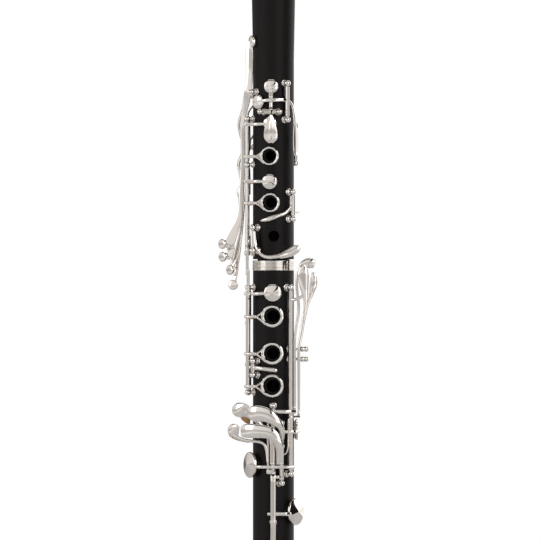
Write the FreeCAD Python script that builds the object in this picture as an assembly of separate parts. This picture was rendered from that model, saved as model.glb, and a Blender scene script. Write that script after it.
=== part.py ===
import FreeCAD, Part
import math
import os

os.makedirs("parts", exist_ok=True)

V = FreeCAD.Vector
Z_AXIS = V(0, 0, 1)
ORIGIN = V(0, 0, 0)

# Soprano clarinet. Origin: centre of the bell rim. +Z runs up the bore, the finger holes face -Y.
# Azimuth 0 is the front (-Y); positive azimuth goes towards +X.

# ---- Wooden body ----
BODY_R = 14.35
BORE_R = 7.3
BELL_TOP = 105.0
JOINT_Z = 337.0
BARREL_BOTTOM = 531.0
BARREL_TOP = 597.0
MOUTHPIECE_TIP = 671.0
BELL_RIM_R = 40.0
TENON_R = 11.2
CORK_T = 0.7
SOCKET_R = TENON_R + CORK_T
MIDDLE_TENON_BOTTOM = 319.0
BELL_TENON_BOTTOM = 84.0
UPPER_TENON_TOP = 548.0
MOUTHPIECE_TENON_BOTTOM = 581.0
JOINT_RING_Z = (329.5, 336.7)
JOINT_RING_R = 14.5
JOINT_RING_SEAT_R = 13.1

# ---- Keywork sizes ----
ROD_R = 1.0
ROD_GAP = 0.05
TUBE_R = 1.6
HINGE_R = 18.8
POST_BALL_R = 2.25
POST_GAP = 0.15
ARM_W = 2.2
ARM_T = 1.5
SEAT_TOP = 14.85
PAD_GAP = 0.12
PAD_T = 1.9
CUP_T = 1.9
CUP_SKIRT = 0.8
RING_T = 1.5
CHIMNEY_TOP = 15.9
RING_LOW = 14.75
SHORT_ROD_R = 0.8
ARC_SHARE = 0.45
SHORT_TUBE_R = 1.7


def polar(azimuth, radius, z=0.0):
    """Point at an azimuth in degrees from the front, a radius and a height."""
    a = math.radians(azimuth)
    return V(radius * math.sin(a), -radius * math.cos(a), z)


def fuse(shapes):
    """One clean shape from several that overlap."""
    if len(shapes) == 1:
        return shapes[0]
    return shapes[0].multiFuse(shapes[1:]).removeSplitter()


def rod(p, q, r):
    """Solid cylinder between two points."""
    d = q - p
    return Part.makeCylinder(r, d.Length, p, d)


def ball(p, r):
    return Part.makeSphere(r, p)


def bent_path(points):
    """Wire of straight runs joined by tangent arcs that fill most of the shorter run at each corner."""
    edges = []
    start = points[0]
    for before, corner, after in zip(points, points[1:], points[2:]):
        back = (before - corner).normalize()
        ahead = (after - corner).normalize()
        reach = ARC_SHARE * min((before - corner).Length, (after - corner).Length)
        inner = (back + ahead).normalize()
        half = back.getAngle(ahead) / 2
        arc_from = corner + back * reach
        arc_to = corner + ahead * reach
        radius = reach * math.tan(half)
        middle = corner + inner * (reach / math.cos(half) - radius)
        edges.append(Part.makeLine(start, arc_from))
        edges.append(Part.Arc(arc_from, middle, arc_to).toShape())
        start = arc_to
    edges.append(Part.makeLine(start, points[-1]))
    return Part.Wire(edges)


def chain(points, r):
    """Round bar bent smoothly along a row of points."""
    path = bent_path(points)
    section = Part.Wire(Part.makeCircle(r, points[0], points[1] - points[0]))
    return path.makePipeShell([section], True, False)


def turned(profile):
    """Solid of revolution about Z from (radius, height) corners."""
    corners = [V(r, 0, h) for r, h in profile]
    face = Part.Face(Part.makePolygon(corners + corners[:1]))
    return face.revolve(ORIGIN, Z_AXIS, 360)


def ring(z0, z1, r_in, r_out):
    """Plain ring about the bore axis."""
    return turned([(r_in, z0), (r_out, z0), (r_out, z1), (r_in, z1)])


def bead(z0, z1, r_in, r_out, edge=0.4):
    """Ring about the bore axis with broken outer edges."""
    return turned([(r_in, z0), (r_out - edge, z0), (r_out, z0 + edge), (r_out, z1 - edge),
                   (r_out - edge, z1), (r_in, z1)])


def outward(shape, azimuth, z):
    """Stand a shape made along local +Z out of the bore axis at an azimuth and height."""
    moved = shape.copy()
    moved.Placement = FreeCAD.Placement(V(0, 0, z), FreeCAD.Rotation(Z_AXIS, polar(azimuth, 1)))
    return moved


def arc_arm(points, z, width=ARM_W, thick=ARM_T):
    """Flat arm in a cross-section of the body, bent to an arc through three (x, y) points."""
    a, b, c = (V(x, y, z - width / 2) for x, y in points)
    centre = Part.Circle(a, b, c).Center
    edges = []
    for half in (-thick / 2, thick / 2):
        run = [p + (p - centre).normalize() * half for p in (a, b, c)]
        edges.append((Part.Arc(*run).toShape(), run))
    close_a = Part.makeLine(edges[0][1][0], edges[1][1][0])
    close_c = Part.makeLine(edges[0][1][2], edges[1][1][2])
    wire = Part.Wire(Part.__sortEdges__([edges[0][0], close_c, edges[1][0], close_a]))
    return Part.Face(wire).extrude(V(0, 0, width))


def plate(outline, y, thick):
    """Touch piece: a smooth closed outline of (x, z) points, from depth y outwards to the front."""
    curve = Part.BSplineCurve()
    curve.interpolate([V(x, y, z) for x, z in outline], PeriodicFlag=True)
    return Part.Face(Part.Wire(curve.toShape())).extrude(V(0, -thick, 0))


def swing(shape, hinge, axis, angle):
    """A copy turned about a hinge line."""
    turned_copy = shape.copy()
    turned_copy.rotate(hinge, axis, angle)
    return turned_copy


def tone_cup(azimuth, z, r):
    """Cup and pad of a key in the closed position."""
    low = SEAT_TOP + PAD_GAP
    top = low + CUP_SKIRT + CUP_T
    skirt = low + CUP_SKIRT
    cup = turned([(0, skirt + 1.0), (r - 0.6, skirt + 1.0), (r - 0.6, skirt), (r, skirt), (r, top - 0.9),
                  (r - 0.25, top - 0.5), (r - 1.0, top - 0.2), (0, top + 0.25)])
    pad = turned([(0, low), (r - 1.1, low), (r - 0.65, low + 0.4), (r - 0.65, skirt + 0.95),
                  (0, skirt + 0.95)])
    return outward(cup, azimuth, z), outward(pad, azimuth, z)


def finger_ring(azimuth, z, r_out, r_in):
    """Ring of a finger hole in the pressed position."""
    low = RING_LOW
    top = low + RING_T
    shape = turned([(r_in, low), (r_out - 0.3, low), (r_out, low + 0.4), (r_out, top - 0.5),
                    (r_out - 0.5, top), (r_in + 0.4, top), (r_in, top - 0.3)])
    return outward(shape, azimuth, z)


def post(x, y, z, ball_r=POST_BALL_R, body_r=BODY_R):
    """Pillar standing radially on the body, with a ball head that carries a rod."""
    head = math.hypot(x, y)
    azimuth = math.degrees(math.atan2(x, -y))
    foot = body_r - 1.2
    neck = head - ball_r * 0.8
    stem = turned([(0, foot), (2.3, foot), (2.3, body_r + 0.35), (1.9, body_r + 0.6), (1.15, body_r + 1.3),
                   (1.15, neck), (0, neck)])
    return fuse([outward(stem, azimuth, z), ball(V(x, y, z), ball_r)])


def leaning_post(x, y, z, ball_r):
    """Pillar with its foot on the body's right side and its head further forward."""
    foot = turned([(0, BODY_R - 1.2), (2.3, BODY_R - 1.2), (2.3, BODY_R + 0.35), (1.2, BODY_R + 0.9),
                   (0, BODY_R + 0.9)])
    pillar = rod(V(BODY_R - 0.4, 0.5, z), V(x, y, z), 1.0)
    return fuse([outward(foot, 92.0, z), pillar, ball(V(x, y, z), ball_r)])


def keyed(solids, hinge, axis, start, end, rod_r=ROD_R, tube_r=TUBE_R):
    """Fuse the pieces of a key with its hinge tube and open the tube for its rod."""
    unit = V(axis).normalize()
    p = hinge + unit * start
    q = hinge + unit * end
    body = fuse(list(solids) + [rod(p, q, tube_r)])
    return body.cut(rod(p - unit * 3, q + unit * 3, rod_r + ROD_GAP))


def export(name, shape):
    if shape.ShapeType == "Compound" and len(shape.Solids) == 1:
        shape = shape.Solids[0]
    shape.exportStep("parts/" + name + ".step")
    print(name, len(shape.Solids), shape.isValid(), round(shape.Volume, 1))


# ---------------------------------------------------------------- tone holes
# (azimuth, height, seat outer radius, hole radius) of every padded hole
UPPER_PAD_HOLES = {
    "lh1": (-6.0, 432.4, 3.4, 2.3),
    "lh2": (-7.0, 391.7, 4.0, 2.9),
    "a": (-5.5, 458.3, 3.7, 2.5),
    "gsharp": (-40.8, 447.5, 3.5, 2.5),
    "lh_sliver": (140.0, 371.2, 3.4, 2.6),
    "csharp": (-112.0, 350.0, 3.4, 2.6),
    "trill_1": (-147.0, 434.0, 3.2, 2.3),
    "trill_2": (-140.0, 453.0, 3.2, 2.3),
    "trill_3": (-124.0, 476.0, 3.2, 2.3),
    "trill_4": (-68.0, 489.6, 3.2, 2.3),
    "register": (180.0, 505.0, 2.6, 1.2),
}
LOWER_PAD_HOLES = {
    "rh_ring": (0.3, 314.1, 4.6, 3.4),
    "rh_sliver": (-106.0, 262.0, 3.4, 2.6),
    "a_flat": (90.0, 218.5, 5.6, 4.4),
    "f_sharp": (-69.0, 193.7, 7.0, 5.6),
    "f_c": (63.0, 161.0, 7.2, 5.8),
    "e_b": (-62.0, 119.0, 7.4, 6.0),
}
# (azimuth, height, chimney outer radius, hole radius) of the finger holes
UPPER_FINGER_HOLES = {
    "lh1": (-8.0, 409.7, 4.4, 3.6),
    "lh2": (-6.2, 377.1, 4.6, 3.7),
    "thumb": (180.0, 418.0, 4.6, 3.6),
}
LOWER_FINGER_HOLES = {
    "rh1": (-1.0, 297.7, 5.2, 4.2),
    "rh2": (-1.0, 271.7, 5.2, 4.2),
    "rh3": (-1.4, 249.0, 5.6, 4.5),
}
LH3_HOLE = (1.1, 353.7, 5.0, 3.85)


def tone_holes(shape, pad_holes, finger_holes):
    """Raise the seats and chimneys on a joint and drill the holes through to the bore."""
    raised = [shape]
    drills = []
    for azimuth, z, seat_r, hole_r in pad_holes.values():
        seat = turned([(0, 11), (seat_r + 0.5, 11), (seat_r + 0.5, SEAT_TOP - 0.35), (seat_r, SEAT_TOP),
                       (0, SEAT_TOP)])
        raised.append(outward(seat, azimuth, z))
        drills.append(outward(Part.makeCylinder(hole_r, 18), azimuth, z))
    for azimuth, z, chimney_r, hole_r in finger_holes.values():
        chimney = turned([(0, 11), (chimney_r, 11), (chimney_r, CHIMNEY_TOP - 0.3),
                          (chimney_r - 0.3, CHIMNEY_TOP), (0, CHIMNEY_TOP)])
        raised.append(outward(chimney, azimuth, z))
        drills.append(outward(Part.makeCylinder(hole_r, 18), azimuth, z))
    return fuse(raised), drills


# ---------------------------------------------------------------- wood
def upper_joint():
    flare_z = 477.0
    outer = [(0, MIDDLE_TENON_BOTTOM), (TENON_R - 0.6, MIDDLE_TENON_BOTTOM),
             (TENON_R, MIDDLE_TENON_BOTTOM + 0.6),
             (TENON_R, JOINT_Z + 0.5), (BODY_R - 0.4, JOINT_Z + 0.5), (BODY_R, JOINT_Z + 0.9),
             (BODY_R, flare_z),
             (15.35, BARREL_BOTTOM), (TENON_R, BARREL_BOTTOM), (TENON_R, UPPER_TENON_TOP - 0.6),
             (TENON_R - 0.6, UPPER_TENON_TOP), (0, UPPER_TENON_TOP)]
    solid, drills = tone_holes(turned(outer), UPPER_PAD_HOLES, UPPER_FINGER_HOLES)
    azimuth, z, bowl_r, hole_r = LH3_HOLE
    drills.append(outward(Part.makeCylinder(hole_r, 20), azimuth, z))
    drills.append(rod(V(0, 0, MIDDLE_TENON_BOTTOM - 1), V(0, 0, UPPER_TENON_TOP + 1), BORE_R))
    return solid.cut(fuse(drills))


def lower_joint():
    ring_z0, ring_z1 = JOINT_RING_Z
    outer = [(0, BELL_TENON_BOTTOM), (TENON_R - 0.6, BELL_TENON_BOTTOM), (TENON_R, BELL_TENON_BOTTOM + 0.6),
             (TENON_R, BELL_TOP), (BODY_R + 0.6, BELL_TOP), (BODY_R, BELL_TOP + 16), (BODY_R, ring_z0),
             (JOINT_RING_SEAT_R, ring_z0), (JOINT_RING_SEAT_R, ring_z1), (0, ring_z1)]
    solid, drills = tone_holes(turned(outer), LOWER_PAD_HOLES, LOWER_FINGER_HOLES)
    drills.append(rod(V(0, 0, BELL_TENON_BOTTOM - 1), V(0, 0, JOINT_Z), BORE_R))
    drills.append(rod(V(0, 0, MIDDLE_TENON_BOTTOM - 0.4), V(0, 0, JOINT_Z), SOCKET_R + 0.02))
    return solid.cut(fuse(drills))


def joint_ring():
    """Metal ring over the lower joint's socket, with three raised bands."""
    z0, z1 = JOINT_RING_Z
    band = (z1 - z0) / 3
    groove = 0.35
    profile = [(JOINT_RING_SEAT_R + 0.01, z0)]
    for index in range(3):
        low = z0 + index * band
        profile += [(JOINT_RING_R - groove, low), (JOINT_RING_R, low + groove),
                    (JOINT_RING_R, low + band - groove),
                    (JOINT_RING_R - groove, low + band)]
    profile.append((JOINT_RING_SEAT_R + 0.01, z1))
    return turned(profile)


def curve_profile(runs):
    """Solid of revolution from runs of (radius, height) points: two points are a line, three an arc."""
    edges = []
    for run in runs:
        points = [V(r, 0, h) for r, h in run]
        if len(points) == 3:
            edges.append(Part.Arc(*points).toShape())
        else:
            edges.append(Part.makeLine(*points))
    return Part.Face(Part.Wire(edges)).revolve(ORIGIN, Z_AXIS, 360)


def bell():
    neck_r = 17.4
    rim = BELL_RIM_R - 1.4
    ring_z = BELL_TOP - 6.5
    throat_z = BELL_TENON_BOTTOM - 0.4
    return curve_profile([
        [(37.6, 0.0), (38.1, 0.0)],
        [(38.1, 0.0), (rim, 0.5)],
        [(rim, 0.5), (rim, 4.5)],
        [(rim, 4.5), (24.6, 26.0), (18.0, 66.0)],
        [(18.0, 66.0), (neck_r, ring_z)],
        [(neck_r, ring_z), (neck_r - 1.2, ring_z)],
        [(neck_r - 1.2, ring_z), (neck_r - 1.2, BELL_TOP - 0.2)],
        [(neck_r - 1.2, BELL_TOP - 0.2), (SOCKET_R + 0.02, BELL_TOP - 0.2)],
        [(SOCKET_R + 0.02, BELL_TOP - 0.2), (SOCKET_R + 0.02, throat_z)],
        [(SOCKET_R + 0.02, throat_z), (9.4, throat_z)],
        [(9.4, throat_z), (19.0, 30.0), (37.6, 0.0)],
    ])


def bell_rings():
    """Rim ring and socket ring."""
    rim = ring(0.6, 4.2, BELL_RIM_R - 1.39, BELL_RIM_R)
    socket = bead(BELL_TOP - 6.5, BELL_TOP - 0.1, 16.21, 18.1)
    return Part.makeCompound([rim, socket])


def barrel():
    z0, z1 = BARREL_BOTTOM + 0.3, BARREL_TOP
    ring_h = 5.5
    r = SOCKET_R + 0.02
    middle = (z0 + z1) / 2
    return curve_profile([
        [(r, z0), (15.0, z0)],
        [(15.0, z0), (15.0, z0 + ring_h)],
        [(15.0, z0 + ring_h), (16.3, z0 + ring_h)],
        [(16.3, z0 + ring_h), (17.0, middle), (16.3, z1 - ring_h)],
        [(16.3, z1 - ring_h), (15.0, z1 - ring_h)],
        [(15.0, z1 - ring_h), (15.0, z1)],
        [(15.0, z1), (r, z1)],
        [(r, z1), (r, MOUTHPIECE_TENON_BOTTOM - 0.4)],
        [(r, MOUTHPIECE_TENON_BOTTOM - 0.4), (BORE_R, MOUTHPIECE_TENON_BOTTOM - 0.4)],
        [(BORE_R, MOUTHPIECE_TENON_BOTTOM - 0.4), (BORE_R, UPPER_TENON_TOP + 0.4)],
        [(BORE_R, UPPER_TENON_TOP + 0.4), (r, UPPER_TENON_TOP + 0.4)],
        [(r, UPPER_TENON_TOP + 0.4), (r, z0)],
    ])


def barrel_rings():
    low = bead(BARREL_BOTTOM + 0.35, BARREL_BOTTOM + 5.7, 15.02, 16.6)
    high = bead(BARREL_TOP - 5.4, BARREL_TOP - 0.05, 15.02, 16.6)
    return Part.makeCompound([low, high])


def tenon_corks():
    """Cork sleeves in the grooves of the four tenons."""
    spans = [(BELL_TENON_BOTTOM + 3, BELL_TOP - 3), (MIDDLE_TENON_BOTTOM + 3, JOINT_Z - 3),
             (BARREL_BOTTOM + 3, UPPER_TENON_TOP - 3), (MOUTHPIECE_TENON_BOTTOM + 3, BARREL_TOP - 2)]
    return Part.makeCompound([bead(z0, z1, TENON_R + 0.01, SOCKET_R, 0.25) for z0, z1 in spans])


# ---------------------------------------------------------------- mouthpiece group
TABLE_Y = 9.4
REED_BUTT_Z = 603.0
LIGATURE_Z = (609.0, 631.0)
LUG_Y = 18.6


def mouthpiece():
    beak_z = 641.0
    outer = turned([(0, MOUTHPIECE_TENON_BOTTOM), (TENON_R, MOUTHPIECE_TENON_BOTTOM),
                    (TENON_R, BARREL_TOP + 0.2),
                    (14.1, BARREL_TOP + 0.2), (14.4, BARREL_TOP + 2), (14.1, 609), (13.2, 636),
                    (11.4, MOUTHPIECE_TIP),
                    (0, MOUTHPIECE_TIP)])
    table = Part.makeBox(40, 20, 80, V(-20, TABLE_Y, 600))
    tip_wedge = [V(0, TABLE_Y - 2.0, MOUTHPIECE_TIP + 0.1), V(0, -16, MOUTHPIECE_TIP + 0.1),
                 V(0, -16, beak_z - 3),
                 V(0, -13.6, beak_z)]
    beak = Part.Face(Part.makePolygon(tip_wedge + tip_wedge[:1])).extrude(V(40, 0, 0))
    beak.translate(V(-20, 0, 0))
    bore = rod(V(0, 0, MOUTHPIECE_TENON_BOTTOM - 1), V(0, 0, 628), BORE_R)
    throat = Part.makeBox(9.0, 13.0, 44.0, V(-4.5, TABLE_Y - 9.0, 622))
    wall = [V(0, TABLE_Y - 9.5, 621), V(0, TABLE_Y - 9.5, 640), V(0, TABLE_Y - 0.9, 668),
            V(0, 25, 668), V(0, 25, 621)]
    keep = Part.Face(Part.makePolygon(wall + wall[:1])).extrude(V(40, 0, 0))
    keep.translate(V(-20, 0, 0))
    return outer.cut(table).cut(beak).cut(bore).cut(throat.common(keep))


def reed():
    """Flat cane reed, thinned towards its tip."""
    y = TABLE_Y + 0.03
    side = [V(0, y, REED_BUTT_Z), V(0, y + 2.9, REED_BUTT_Z + 0.4), V(0, y + 2.9, 636), V(0, y + 1.3, 655),
            V(0, y + 0.25, MOUTHPIECE_TIP - 0.5), V(0, y, MOUTHPIECE_TIP - 0.5)]
    body = Part.Face(Part.makePolygon(side + side[:1])).extrude(V(13.0, 0, 0))
    body.translate(V(-6.5, 0, 0))
    return body.common(rod(V(0, 0, 600), V(0, 0, 680), 13.75))


def ligature_band():
    z0, z1 = LIGATURE_Z
    band = ring(z0, z1, 14.15, 14.9)
    band = band.cut(Part.makeBox(3.0, 10, 30, V(-1.5, 10, z0 - 2)))
    lugs = []
    for x in (-3.4, 1.6):
        for z in (z0 + 5.5, z1 - 5.5):
            lugs.append(Part.makeBox(1.8, LUG_Y - 11.1, 4.0, V(x, 13.3, z - 2)))
    window = rod(V(0, -20, (z0 + z1) / 2), V(0, -10, (z0 + z1) / 2), 3.6)
    body = fuse([band.cut(window)] + lugs)
    lining = rod(V(0, 0, z0 - 1), V(0, 0, z1 + 1), 14.15)
    for z in (z0 + 5.5, z1 - 5.5):
        body = body.cut(rod(V(-10, LUG_Y, z), V(10, LUG_Y, z), 1.05))
    return body.cut(lining)


def ligature_screws():
    z0, z1 = LIGATURE_Z
    screws = []
    for z in (z0 + 5.5, z1 - 5.5):
        shank = rod(V(-4.2, LUG_Y, z), V(3.6, LUG_Y, z), 1.0)
        head = turned([(0, 0), (2.0, 0), (2.8, 1.0), (2.8, 4.0), (2.3, 5.0), (0, 5.0)])
        head.Placement = FreeCAD.Placement(V(3.5, LUG_Y, z), FreeCAD.Rotation(Z_AXIS, V(1, 0, 0)))
        screws.append(fuse([shank, head]))
    return Part.makeCompound(screws)


# ---------------------------------------------------------------- back of the instrument
THUMB_REST_Z = 262.0
THUMB_REST_SCREW_Z = (252.0, 256.5)


def thumb_rest():
    """Right-thumb hook on a screwed plate, with a ring for a neck strap."""
    z = THUMB_REST_Z
    base = ring(z - 14, z + 14, BODY_R + 0.05, BODY_R + 1.6)
    base = base.common(Part.makeBox(13, 30, 40, V(-6.5, 5, z - 20)))
    hook = arc_arm([(0, BODY_R + 0.6), (0.8, 24.0), (3.4, 33.0)], z + 2.0, 11.0, 2.4)
    strap = turned([(2.6, -1.0), (4.4, -1.0), (4.4, 1.0), (2.6, 1.0)])
    strap.Placement = FreeCAD.Placement(V(0, BODY_R + 5.4, z + 10.4), FreeCAD.Rotation(Z_AXIS, V(1, 0, 0)))
    body = fuse([base, hook, strap])
    for height in THUMB_REST_SCREW_Z:
        body = body.cut(rod(V(0, 10, height), V(0, 20, height), 1.25))
    return body


def thumb_rest_screws():
    screws = []
    for height in THUMB_REST_SCREW_Z:
        shank = rod(V(0, 11, height), V(0, 16.2, height), 1.2)
        head = rod(V(0, 16.0, height), V(0, 17.0, height), 2.0)
        slot = Part.makeBox(4.4, 0.5, 0.5, V(-2.2, 16.6, height - 0.25))
        screws.append(fuse([shank, head]).cut(slot))
    return Part.makeCompound(screws)


def thumb_tube():
    """Metal sleeve lining the thumb hole."""
    azimuth, z, _, _ = UPPER_FINGER_HOLES["thumb"]
    return outward(turned([(2.8, 7.6), (3.58, 7.6), (3.58, 16.1), (2.8, 16.1)]), azimuth, z)


def register_tube():
    """Metal vent tube under the register pad, standing into the bore."""
    azimuth, z, _, _ = UPPER_PAD_HOLES["register"]
    return outward(turned([(0.8, 3.5), (1.18, 3.5), (1.18, SEAT_TOP), (0.8, SEAT_TOP)]), azimuth, z)


# ---------------------------------------------------------------- hinge lines
# (x, y) of each long hinge line and the heights of its posts
UPPER_LEFT = (-18.3, -4.3)
G_SHARP_LINE = (9.8, -15.3)
UPPER_SLIVER_LINE = (13.7, -12.6)
C_SHARP_LINE = (-14.4, -11.9)
THUMB_LINE = (15.4, 10.8)
LOWER_LEFT = (-17.7, -5.8)
LOWER_SLIVER_LINE = (-14.3, -11.9)
LONG_RIGHT = (12.0, -14.3)
CENTRE_LINE = (-0.2, -18.4)
SECOND_LINE = (5.6, -17.7)

UPPER_HINGES = [
    (UPPER_LEFT, (435.8, 403.7, 341.8)),
    (G_SHARP_LINE, (460.5, 435.0)),
    (UPPER_SLIVER_LINE, (384.6, 365.7)),
    (C_SHARP_LINE, (359.7, 343.6)),
    (THUMB_LINE, (431.0, 405.0)),
]
LOWER_HINGES = [
    (LOWER_LEFT, (317.9, 244.5)),
    (LOWER_SLIVER_LINE, (266.4, 256.6)),
    (LONG_RIGHT, (317.8, 187.5)),
    (CENTRE_LINE, (235.2, 153.6, 108.6)),
    (SECOND_LINE, (223.0, 206.8, 181.0)),
]
# A key hinge: (x, -y depth, height) with posts either side along X
A_HINGE = V(-2.6, -17.6, 440.6)
A_HINGE_HALF = 6.8
REGISTER_HINGE = V(0, 18.0, 470.0)
REGISTER_HINGE_HALF = 6.0
# trill keys: hinge azimuth, hinge height, azimuth that the hinge line is square to
TRILL_HINGE_R = 17.5
TRILL_HALF = 3.9
TRILLS = {
    "trill_1": (-122.0, 416.0, -118.0),
    "trill_2": (-108.0, 434.0, -106.0),
    "trill_3": (-104.0, 452.0, -100.0),
    "trill_4": (-68.0, 454.6, -78.0),
}
# left little-finger levers: the height of each lever's pivot, and its plane in x
LEVER_PIVOT_Y = -10.2
LEVERS = {"e": (14.85, 274.7), "f": (17.75, 267.7)}
LEVER_POST_X = (11.9, 21.6)


def tangent(azimuth):
    a = math.radians(azimuth)
    return V(math.cos(a), math.sin(a), 0)


def trill_hinge(name):
    azimuth, z, square_to = TRILLS[name]
    return polar(azimuth, TRILL_HINGE_R, z), tangent(square_to)


def upper_posts():
    posts = [post(x, y, z) for (x, y), heights in UPPER_HINGES for z in heights]
    for side in (-1, 1):
        posts.append(post(A_HINGE.x + side * A_HINGE_HALF, A_HINGE.y, A_HINGE.z, 2.0))
        posts.append(post(side * REGISTER_HINGE_HALF, REGISTER_HINGE.y, REGISTER_HINGE.z, 2.0))
    for name in TRILLS:
        centre, along = trill_hinge(name)
        for side in (-1, 1):
            head = centre + along * (side * TRILL_HALF)
            posts.append(post(head.x, head.y, head.z, 1.8))
    return Part.makeCompound(posts)


def lower_posts():
    posts = [post(x, y, z) for (x, y), heights in LOWER_HINGES for z in heights]
    inner_x, outer_x = LEVER_POST_X
    for _, z in LEVERS.values():
        posts.append(post(inner_x, LEVER_PIVOT_Y, z, 1.6))
        posts.append(leaning_post(outer_x, LEVER_PIVOT_Y, z, 2.3))
    return Part.makeCompound(posts)


def hinge_rods(lines, extra):
    rods = []
    for (x, y), heights in lines:
        rods.append(rod(V(x, y, min(heights)), V(x, y, max(heights)), ROD_R))
    return Part.makeCompound(rods + extra)


def upper_rods():
    extra = [rod(A_HINGE - V(A_HINGE_HALF, 0, 0), A_HINGE + V(A_HINGE_HALF, 0, 0), SHORT_ROD_R),
             rod(REGISTER_HINGE - V(REGISTER_HINGE_HALF, 0, 0),
                 REGISTER_HINGE + V(REGISTER_HINGE_HALF, 0, 0),
                 SHORT_ROD_R)]
    for name in TRILLS:
        centre, along = trill_hinge(name)
        extra.append(rod(centre - along * TRILL_HALF, centre + along * TRILL_HALF, SHORT_ROD_R))
    return hinge_rods(UPPER_HINGES, extra)


def lower_rods():
    inner_x, outer_x = LEVER_POST_X
    extra = [rod(V(inner_x, LEVER_PIVOT_Y, z), V(outer_x, LEVER_PIVOT_Y, z), SHORT_ROD_R)
             for _, z in LEVERS.values()]
    return hinge_rods(LOWER_HINGES, extra)


def line_start(line, z):
    return V(line[0], line[1], z)


def side_key(line, z0, z1, solids):
    """Key on a long hinge line, its tube from z0 to z1."""
    return keyed(solids, line_start(line, 0), Z_AXIS, z0, z1)


def long_arm(line, mid, end, z, width=ARM_W, thick=ARM_T):
    return arc_arm([line, mid, end], z, width, thick)


# ---------------------------------------------------------------- travel, in degrees
RING_TRAVEL = 3.2
LH_RING_TRAVEL = 3.2
THUMB_RING_TRAVEL = 3.4
F_SHARP_TRAVEL = 5.5
F_C_TRAVEL = 6.0
E_B_TRAVEL = 6.0


def opened(shapes, line, axis_z, angle):
    """Move a closed key's pieces to the open rest position about its hinge line."""
    return [swing(s, line_start(line, 0), V(0, 0, -axis_z), angle) for s in shapes]


# ---------------------------------------------------------------- upper-joint keys
def lh1_ring_key():
    azimuth, z, _, _ = UPPER_PAD_HOLES["lh1"]
    cup, pad = tone_cup(azimuth, z, 4.7)
    azimuth, ring_z, _, _ = UPPER_FINGER_HOLES["lh1"]
    loop = finger_ring(azimuth, ring_z, 6.6, 5.0)
    ring_arm = long_arm(UPPER_LEFT, (-14.2, -10.4), (-7.4, -15.2), ring_z, ARM_W, 1.4)
    cup_arm = long_arm(UPPER_LEFT, (-12.6, -14.1), (-2.6, -17.6), 431.8, 2.2, 1.3)
    key, pad = opened([fuse([loop, ring_arm, cup, cup_arm]), pad], UPPER_LEFT, 1, LH_RING_TRAVEL)
    return side_key(UPPER_LEFT, 406.1, 433.4, [key]), pad


def lh2_ring_key():
    azimuth, z, _, _ = UPPER_PAD_HOLES["lh2"]
    cup, pad = tone_cup(azimuth, z, 5.3)
    azimuth, ring_z, _, _ = UPPER_FINGER_HOLES["lh2"]
    loop = finger_ring(azimuth, ring_z, 6.8, 5.2)
    ring_arm = long_arm(UPPER_LEFT, (-14.2, -10.4), (-7.4, -15.2), ring_z, ARM_W, 1.4)
    cup_arm = long_arm(UPPER_LEFT, (-12.6, -14.1), (-2.6, -17.6), 391.9, 2.2, 1.3)
    key, pad = opened([fuse([loop, ring_arm, cup, cup_arm]), pad], UPPER_LEFT, 1, LH_RING_TRAVEL)
    x, y = UPPER_LEFT
    bridge_root = Part.makeBox(2.2, 5.4, 2.6, V(x - 1.1, y - 5.4, 345.2))
    bridge = Part.makeBox(2.2, 1.6, 21.5, V(x - 1.1, y - 5.2, 326.0))
    return side_key(UPPER_LEFT, 344.2, 401.3, [key, bridge_root, bridge]), pad


def thumb_ring_key():
    azimuth, z, _, _ = UPPER_FINGER_HOLES["thumb"]
    loop = finger_ring(azimuth, z, 6.7, 5.1)
    ring_arm = long_arm(THUMB_LINE, (12.0, 13.3), (6.6, 15.5), z, ARM_W, 1.4)
    key = opened([fuse([loop, ring_arm])], THUMB_LINE, 1, THUMB_RING_TRAVEL)
    return side_key(THUMB_LINE, 407.4, 428.6, key)


def a_key():
    azimuth, z, _, _ = UPPER_PAD_HOLES["a"]
    cup, pad = tone_cup(azimuth, z, 5.0)
    x = A_HINGE.x + 0.8
    stem = Part.makeBox(2.6, 1.5, 17.0, V(x - 1.3, -17.4, A_HINGE.z - 0.5))
    rise = Part.makeBox(2.6, 2.2, 3.4, V(x - 1.3, -21.6, 437.0))
    link = Part.makeBox(2.6, 3.0, 2.6, V(x - 1.3, -20.6, 439.0))
    outline = [(0, 437.8), (2.2, 434.0), (4.6, 428.5), (4.8, 423.5), (2.9, 419.6), (0, 418.6),
               (-2.9, 419.6), (-4.8, 423.5), (-4.6, 428.5), (-2.2, 434.0)]
    touch = plate([(px + x, pz) for px, pz in outline], -20.4, 1.7)
    return keyed([cup, stem, rise, link, touch], A_HINGE, V(1, 0, 0), -4.2, 4.2, SHORT_ROD_R, 1.9), pad


def g_sharp_key():
    azimuth, z, _, _ = UPPER_PAD_HOLES["gsharp"]
    cup, pad = tone_cup(azimuth, z, 4.9)
    arm = arc_arm([G_SHARP_LINE, (0.6, -19.4), tuple(polar(-38.0, 18.3))[:2]], 448.6, 2.4, 1.3)
    drop = chain([V(11.2, -14.9, 447.6), V(13.6, -13.2, 444.0), V(14.6, -12.0, 430.0)], 1.1)
    outline = [(-1.6, 430.8), (1.4, 431.2), (3.4, 424.0), (3.6, 414.0), (1.2, 409.0), (-1.8, 411.5),
               (-2.6, 420.0)]
    touch = plate(outline, -17.6, 1.6)
    touch.rotate(ORIGIN, Z_AXIS, 56.0)
    return side_key(G_SHARP_LINE, 437.5, 458.0, [cup, arm, drop, touch]), pad


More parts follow.
